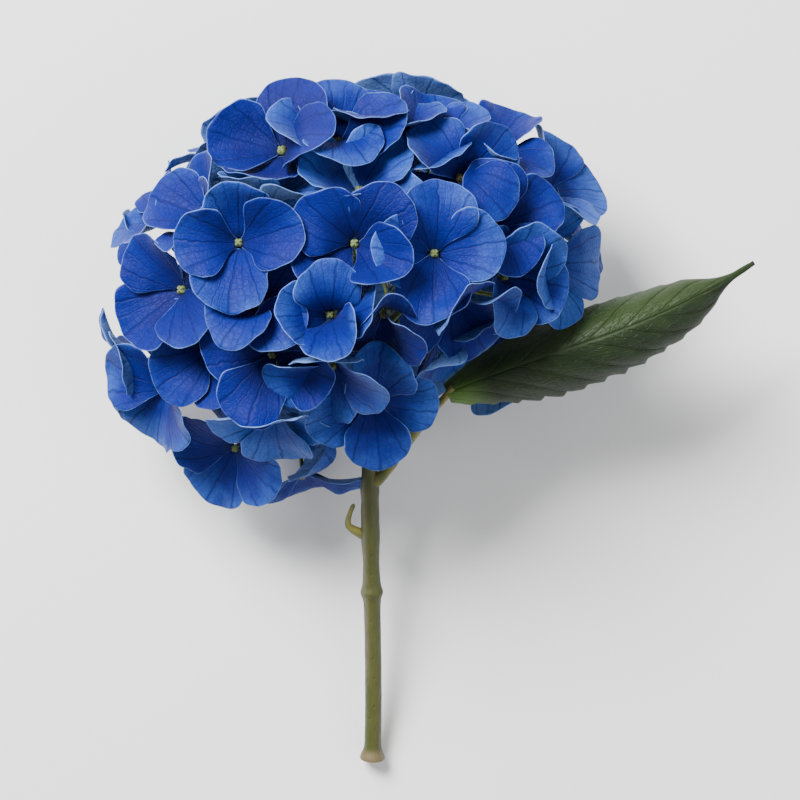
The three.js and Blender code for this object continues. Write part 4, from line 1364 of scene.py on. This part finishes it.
@dataclass
class FlowerHead:
    """The mophead: every floret's sepals, buds and stalks.

    The tones say how light a floret is, by its number, where it isn't plain.
    """

    florets: int = 48
    thickness: float = 0.42 * MM
    ruffle: float = 2.6 * MM
    ruffle_scale: float = 95.0
    ruffle_seed: float = 1.0
    tone_spread: float = 0.15
    sepal_tone_spread: float = 0.25
    ruffle_free: tuple[float, float] = (0.8 * MM, 6 * MM)
    bud_rise: float = 1.0 * MM
    bud_sizes: tuple[float, float] = (0.85, 1.1)
    dull_tone: float = 0.9
    plain_tone: float = 0.35
    stalk_collar: float = 0.55 * MM
    collar_reach: float = 0.08
    bud_radius: float = 1.75 * MM
    stalk_radius: float = 0.62 * MM
    foot_radius: float = 1.05 * MM
    stalk_points: int = 22
    seed: int = 20
    sheet: SepalSheet = field(default_factory=SepalSheet)
    tones: dict[int, float] = field(
        default_factory=lambda: {
            1: 0.05, 2: -0.45, 3: 0.75, 4: -0.05, 5: -0.1, 6: 0.35, 7: 0.9, 8: 0.3, 9: 0.25, 10: -0.1,
            11: 0.15, 12: 0.35, 13: -0.1, 14: 0.4, 15: 0.0, 16: 0.1, 17: 0.0, 18: -0.1, 19: 0.1, 20: 0.5,
            21: -0.6, 22: 0.1, 26: -0.6, 27: -0.1, 28: 0.2, 29: 0.85, 30: 0.2, 31: 0.3,
        }
    )
    dull_buds: tuple[int, ...] = (10, 13, 31, 4, 37, 44)

    def build(self, blade: BladeTool, sweep: SweepTool, buds: BudTool) -> list[bpy.types.Object]:
        """Builds and dresses the whole head.

        Args:
            blade: Makes the sheets into closed sepals.
            sweep: Makes the stalks.
            buds: Makes the buds.

        Returns:
            Every piece of the head.
        """
        reader, random = FloretReader(), np.random.default_rng(self.seed)
        pieces, eyes, facings, stalks = [], [], [], []
        for number in range(1, self.florets + 1):
            node = f"floret_{number:02d}"
            eye, facing, stalk, sepals = reader.read(node)
            tone = self.tones.get(number, 0.0) + random.uniform(-self.tone_spread, self.tone_spread)
            piece = self.sepal_object(node, sepals, tone, random)
            blade.run(
                piece,
                SepalFinish(),
                Thickness=self.thickness,
                Ruffle=self.ruffle,
                Ruffle_Scale=self.ruffle_scale,
                Seed=self.ruffle_seed,
            )
            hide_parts(node)
            pieces.append(dressed(piece))
            eyes.append(eye + facing * self.bud_rise)
            facings.append(facing)
            stalks.append(stalk)
            LOG.info("%s: %d sepals", node, len(sepals))
        pieces.append(self.bud_object(np.array(eyes), np.array(facings), buds, random))
        pieces.append(self.stalk_object(stalks, sweep))
        return pieces

    def sepal_object(
        self, node: str, sepals: list[SepalShape], tone: float, random: np.random.Generator
    ) -> bpy.types.Object:
        """Lays out a floret's sepals as one-sided sheets in one object.

        Args:
            node: The floret's CAD node.
            sepals: Its sepals.
            tone: How light the floret is, about 0.
            random: Where the tone of each sepal comes from.

        Returns:
            The object.
        """
        points, edges, fans, tones, faces = [], [], [], [], []
        quads = grid_faces(self.sheet.grid, self.sheet.grid)
        for rank, sepal in enumerate(sepals):
            place, edge, fan = self.sheet.draw(sepal, rank, random)
            faces.append(quads + rank * len(place))
            points.append(place)
            edges.append(edge)
            fans.append(fan)
            spread = random.uniform(-self.sepal_tone_spread, self.sepal_tone_spread)
            tones.append(np.full(len(place), tone + spread))
        lowest, span = self.ruffle_free
        free = np.clip((np.vstack(points)[:, 2] - lowest) / span, 0, 1)
        return make_object(
            f"{node}_sepals",
            np.vstack(points),
            faces=np.vstack(faces),
            numbers={"edge": np.concatenate(edges), "tone": np.concatenate(tones), "free": free},
            fan=np.vstack(fans),
        )

    def bud_object(
        self, eyes: np.ndarray, facings: np.ndarray, tool: BudTool, random: np.random.Generator
    ) -> bpy.types.Object:
        """Builds the buds of all the florets as one piece.

        Args:
            eyes: Where each bud sits.
            facings: The way each bud faces.
            tool: Sets a bud on each point.
            random: Where the sizes and tones come from.

        Returns:
            The piece.
        """
        tones = [
            self.dull_tone if number in self.dull_buds else random.uniform(0, self.plain_tone)
            for number in range(1, len(eyes) + 1)
        ]
        sizes = random.uniform(*self.bud_sizes, len(eyes))
        numbers = {"facing": facings, "size": sizes, "tone": np.array(tones)}
        piece = make_object("floret_buds", eyes, numbers=numbers)
        tool.run(
            piece,
            BudFinish(),
            Radius=self.bud_radius,
            Lobes=0.34,
            Squash=-0.05,
            Segments=24,
            Rings=14,
        )
        return dressed(piece)

    def stalk_object(self, stalks: list[np.ndarray], tool: SweepTool) -> bpy.types.Object:
        """Builds the stalks of all the florets as one piece.

        Args:
            stalks: The points of each stalk, from the eye down.
            tool: Sweeps the section along them.

        Returns:
            The piece.
        """
        points, edges, widths = [], [], []
        for index, stalk in enumerate(stalks):
            line = catmull_rom(stalk, self.stalk_points)
            share = np.linspace(0, 1, self.stalk_points)
            width = self.stalk_radius + (self.foot_radius - self.stalk_radius) * share**2
            width += self.stalk_collar * np.exp(-((share / self.collar_reach) ** 2))
            first = index * self.stalk_points + np.arange(self.stalk_points - 1)
            points.append(line)
            widths.append(width)
            edges.append(np.stack([first, first + 1], axis=1))
        numbers = {"width": np.concatenate(widths)}
        piece = make_object("floret_stalks", np.vstack(points), edges=np.vstack(edges), numbers=numbers)
        tool.run(piece, StalkFinish(), Sides=12, Bark=0.12 * MM, Bark_Scale=500.0)
        return dressed(piece)


def dressed(piece: bpy.types.Object) -> bpy.types.Object:
    """Rides a piece on the part's one body.

    Args:
        piece: The finished piece.

    Returns:
        The piece.
    """
    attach(piece, "root")
    return piece


@dataclass
class Tube:
    """A stem, branch or stalk that is swept along the middle of its CAD node.

    Each swelling is where along the tube it is, how far it rises and how far it reaches. A rooted
    tube's foot bends into the stem over that share of its length.
    """

    node: str
    slot: Slot
    tissue: Tissue
    sides: int = 20
    rings: int = 60
    bark: float = 0.2 * MM
    bark_scale: float = 300.0
    bends: int = 5
    even_radius: bool = False
    swellings: tuple[tuple[float, float, float], ...] = ()
    rounded_ends: bool = False
    rooted: float = 0.0
    drawn_out: float = 0.0
    drawn_from: float = 0.8
    ease: int = 2

    def joined(self, curve: np.ndarray) -> np.ndarray:
        """Bends a side branch's foot into the stem and draws its far end out.

        Args:
            curve: The smooth points of the branch's middle, foot first.

        Returns:
            The points, moved near the two ends only.
        """
        share = np.linspace(0, 1, self.rings)
        if self.rooted:
            stem = TubeLine().follow("stem")[0]
            nearest = stem[np.linalg.norm(stem - curve[0], axis=1).argmin()]
            pull = np.clip(1 - share / self.rooted, 0, 1) ** 2
            curve = curve + pull[:, None] * (nearest - curve[0])
        if self.drawn_out:
            pull = np.clip((share - self.drawn_from) / (1 - self.drawn_from), 0, 1) * self.drawn_out
            low, high = (np.array(corner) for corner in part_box("leaf_blade"))
            onward = unit(curve[-1] - curve[-6]) + unit((low + high) / 2 - curve[-1])
            curve = curve + pull[:, None] * unit(onward)
        return curve

    def fair(self, line: np.ndarray, radii: np.ndarray) -> tuple[np.ndarray, np.ndarray]:
        """Smooths a measured line and its radii.

        Args:
            line: The measured points of the middle.
            radii: The measured radius at each.

        Returns:
            The smooth points and radii, one for each ring.
        """
        knots = np.linspace(0, 1, len(line))
        share = np.linspace(0, 1, self.rings)
        fits = [np.polyfit(knots, axis, self.bends) for axis in line.T]
        curve = np.stack([np.polyval(fit, share) for fit in fits], axis=1)
        if self.even_radius:
            inner = slice(self.ease, -self.ease)
            eased = np.polyval(np.polyfit(knots[inner], radii[inner], 1), knots)
        else:
            padded = np.pad(radii, self.ease, mode="edge")
            count = 2 * self.ease + 1
            eased = sum(padded[k : k + len(radii)] for k in range(count)) / count
        return curve, np.interp(share, knots, eased)

    def build(self, tool: SweepTool) -> bpy.types.Object:
        """Builds and dresses the tube.

        Args:
            tool: Sweeps the section along the line.

        Returns:
            The piece.
        """
        line, radii = TubeLine().follow(self.node)
        if line[0][1] > line[-1][1]:
            line, radii = line[::-1], radii[::-1]
        smooth, width = self.fair(line, radii)
        smooth = self.joined(smooth)
        share = np.linspace(0, 1, self.rings)
        for at, rise, reach in self.swellings:
            width = width + rise * np.exp(-(((share - at) / reach) ** 2))
        if self.rounded_ends:
            away = np.linalg.norm(smooth - smooth[-1], axis=1) / width
            width = width * np.sqrt(np.clip(1 - np.clip(1 - away, 0, 0.97) ** 2, 0, 1))
        first = np.arange(self.rings - 1)
        piece = make_object(
            f"{self.node}_skin",
            smooth,
            edges=np.stack([first, first + 1], axis=1),
            numbers={"width": width, "along": np.linspace(0, 1, self.rings)},
        )
        finish: Finish = StalkFinish()
        if self.tissue is Tissue.WOODY_STEM:
            finish = StemFinish(foot=tuple(map(float, smooth[0])))
        elif self.tissue is Tissue.LEAF_STALK:
            finish = PetioleFinish()
        tool.run(piece, finish, Sides=self.sides, Bark=self.bark, Bark_Scale=self.bark_scale)
        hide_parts(self.node)
        LOG.info("%s: %d rings", self.node, self.rings)
        return dressed(piece)


@dataclass
class Leaf:
    """The one leaf: folded a little along its midrib, toothed, quilted between its side veins."""

    node: str = "leaf_blade"
    length: float = 125 * MM
    width: float = 46 * MM
    heading: float = 23.0
    climb: float = 0.08
    arch: float = 10 * MM
    bow: float = 7 * MM
    upper_slope: float = 56.0
    lower_slope: float = 44.0
    teeth: int = 15
    tooth_depth: float = 0.11
    upper_teeth: float = 0.35
    laterals: float = 9.0
    quilt: float = 0.9 * MM
    midrib_depth: float = 0.5 * MM
    midrib_width: float = 0.06
    tip_from: float = 0.78
    tip_length: float = 0.17
    tip_narrow: float = 0.86
    outline_start: float = 0.03
    outline_span: float = 0.96
    belly: float = 0.82
    fullness: float = 0.85
    least_width: float = 0.012
    least_slope: float = 0.35
    tooth_root: int = 6
    thickness: float = 0.6 * MM
    ruffle: float = 3.4 * MM
    ruffle_scale: float = 60.0
    ruffle_seed: float = 3.0
    end_rows: float = 40.0
    rows: int = 193
    columns: int = 41

    def build(self, tool: BladeTool) -> bpy.types.Object:
        """Builds and dresses the leaf.

        Args:
            tool: Makes the sheet into a closed blade.

        Returns:
            The piece.
        """
        ahead, aside = np.linspace(0, 1, self.rows), np.linspace(-1, 1, self.columns)
        t, u = (axis.ravel() for axis in np.meshgrid(ahead, aside, indexing="ij"))
        points = self.surface(t, u)
        low, high = (np.array(corner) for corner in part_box(self.node))
        points += (low + high) / 2 - (points.min(axis=0) + points.max(axis=0)) / 2
        ends = np.maximum(1 - t * self.end_rows, 1 - (1 - t) * self.end_rows)
        edge = np.maximum(np.abs(u), ends)
        piece = make_object(
            "leaf_blade_skin",
            points,
            faces=grid_faces(self.rows, self.columns)[:, ::-1],
            numbers={"edge": edge, "tone": np.zeros(len(t)), "free": np.ones(len(t))},
            fan=np.stack([u, t], axis=1),
        )
        tool.run(
            piece,
            LeafFinish(laterals=self.laterals),
            Thickness=self.thickness,
            Ruffle=self.ruffle,
            Ruffle_Scale=self.ruffle_scale,
            Seed=self.ruffle_seed,
        )
        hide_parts(self.node)
        LOG.info("%s: %d rows", self.node, self.rows)
        return dressed(piece)

    def surface(self, t: np.ndarray, u: np.ndarray) -> np.ndarray:
        """Returns the points of the leaf.

        Args:
            t: How far each point is along the midrib, 0 to 1.
            u: How far each point is across, -1 to 1.

        Returns:
            The points, one row each, about the leaf's own base.
        """
        turn = math.radians(self.heading)
        ahead = unit(np.array([math.cos(turn), math.sin(turn), self.climb]))
        across = unit(np.cross(ahead, [0, 0, 1]))
        up = np.cross(across, ahead)
        broad = np.sin(np.pi * (self.outline_start + self.outline_span * t) ** self.belly)
        broad = broad.clip(0) ** self.fullness
        saw = (t * self.teeth) % 1.0
        depth = np.where(u > 0, self.tooth_depth, self.upper_teeth * self.tooth_depth)
        notch = np.where(saw < TEETH_FALL, 1 - saw / TEETH_FALL, (saw - TEETH_FALL) / (1 - TEETH_FALL))
        tooth = 1 - depth * np.abs(u) ** self.tooth_root * notch
        drawn_out = np.clip((t - self.tip_from) / self.tip_length, 0, 1)
        broad = broad * (1 - self.tip_narrow * drawn_out**2 * (3 - 2 * drawn_out))
        half = self.width / 2 * (self.least_width + (1 - self.least_width) * broad) * tooth
        slope = np.radians(np.where(u < 0, self.upper_slope, self.lower_slope))
        slope = slope * (self.least_slope + (1 - self.least_slope) * np.abs(u))
        rise = self.arch * np.sin(np.pi * t) - half * np.abs(u) * np.sin(slope)
        lean = LATERAL_LEAN * np.abs(u) ** LATERAL_CURVE
        vein = np.abs(((t - lean) * self.laterals) % 1.0 - 0.5) * 2
        body = np.sin(np.pi * np.clip(np.abs(u), 0, 1)) * np.sin(np.pi * t)
        rise = rise + self.quilt * body * (1 - vein**4)
        rise = rise - self.midrib_depth * np.exp(-((np.abs(u) / self.midrib_width) ** 2))
        run = self.length * t
        aside = self.bow * t * np.sin(np.pi * t) + half * u * np.cos(slope)
        return run[:, None] * ahead + aside[:, None] * across + rise[:, None] * up


@dataclass
class Studio:
    """The pale table, the soft lights and the camera that looks down."""

    focus: tuple[float, float, float] = (-0.0092, 0.0112, 0.056)
    camera_height: float = 1.14
    lens: float = 135.0
    sensor: float = 36.0
    floor_size: float = 6.0
    # Each lamp: its place, the side of its square in metres, and its power in watts.
    key: tuple[tuple[float, float, float], float, float] = ((-0.70, 0.85, 1.25), 0.75, 82.0)
    fill: tuple[tuple[float, float, float], float, float] = ((1.1, -0.5, 1.2), 1.3, 9.0)
    sky: Color = rgb(1.0, 1.0, 1.0)
    sky_strength: float = 0.50

    def build(self) -> None:
        """Makes the table, the lights and the camera."""
        half = self.floor_size / 2
        corners = np.array([[-half, -half, 0], [half, -half, 0], [half, half, 0], [-half, half, 0]])
        floor = make_object("table", corners, faces=np.array([[0, 1, 2, 3]]))
        floor.data.materials.append(TableFinish().material())
        self.lamp("key", *self.key)
        self.lamp("fill", *self.fill)
        world = bpy.data.worlds.new("sky")
        world.use_nodes = True
        sky = world.node_tree.nodes["Background"]
        sky.inputs["Color"].default_value = self.sky
        sky.inputs["Strength"].default_value = self.sky_strength
        bpy.context.scene.world = world
        data = bpy.data.cameras.new("camera")
        data.lens = self.lens
        data.sensor_width = self.sensor
        camera = bpy.data.objects.new("camera", data)
        camera.location = (self.focus[0], self.focus[1], self.focus[2] + self.camera_height)
        bpy.context.scene.collection.objects.link(camera)
        bpy.context.scene.camera = camera

    def lamp(self, name: str, place: tuple[float, float, float], size: float, power: float) -> None:
        """Makes one soft light that shines at the flower.

        Args:
            name: The light's name.
            place: Where it hangs.
            size: The side of its square, in metres.
            power: Its power in watts.
        """
        data = bpy.data.lights.new(name, "AREA")
        data.size = size
        data.energy = power
        light = bpy.data.objects.new(name, data)
        light.location = place
        aim = np.array(self.focus) - np.array(place)
        tilt = math.acos(-aim[2] / float(np.linalg.norm(aim)))
        light.rotation_euler = (tilt, 0.0, math.atan2(aim[1], aim[0]) - math.pi / 2)
        bpy.context.scene.collection.objects.link(light)


def main() -> None:
    """Builds the flower and its studio in order."""
    logging.basicConfig(level=logging.INFO, format="%(name)s: %(message)s")
    Studio().build()
    blade, sweep, buds = BladeTool(), SweepTool(), BudTool()
    FlowerHead().build(blade, sweep, buds)
    for number in range(1, BRANCHES + 1):
        Tube(f"ray_{number}", Slot.STALK, Tissue.GREEN_STALK, sides=14, rings=24).build(sweep)
    Tube(
        "stem",
        Slot.STEM,
        Tissue.WOODY_STEM,
        sides=36,
        rings=260,
        bark=0.28 * MM,
        bends=3,
        even_radius=True,
        swellings=STEM_SWELLINGS,
    ).build(sweep)
    Tube(
        "side_shoot",
        Slot.STEM,
        Tissue.LEAF_STALK,
        rings=40,
        rounded_ends=True,
        rooted=0.40,
        swellings=((0.0, 0.7 * MM, 0.22),),
    ).build(sweep)
    Tube(
        "leaf_petiole",
        Slot.PETIOLE,
        Tissue.LEAF_STALK,
        sides=24,
        rings=80,
        bark=0.35 * MM,
        rooted=0.16,
        drawn_out=5 * MM,
        swellings=((0.02, 0.8 * MM, 0.05),),
    ).build(sweep)
    Leaf().build(blade)
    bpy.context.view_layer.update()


if __name__ == "__main__":
    main()
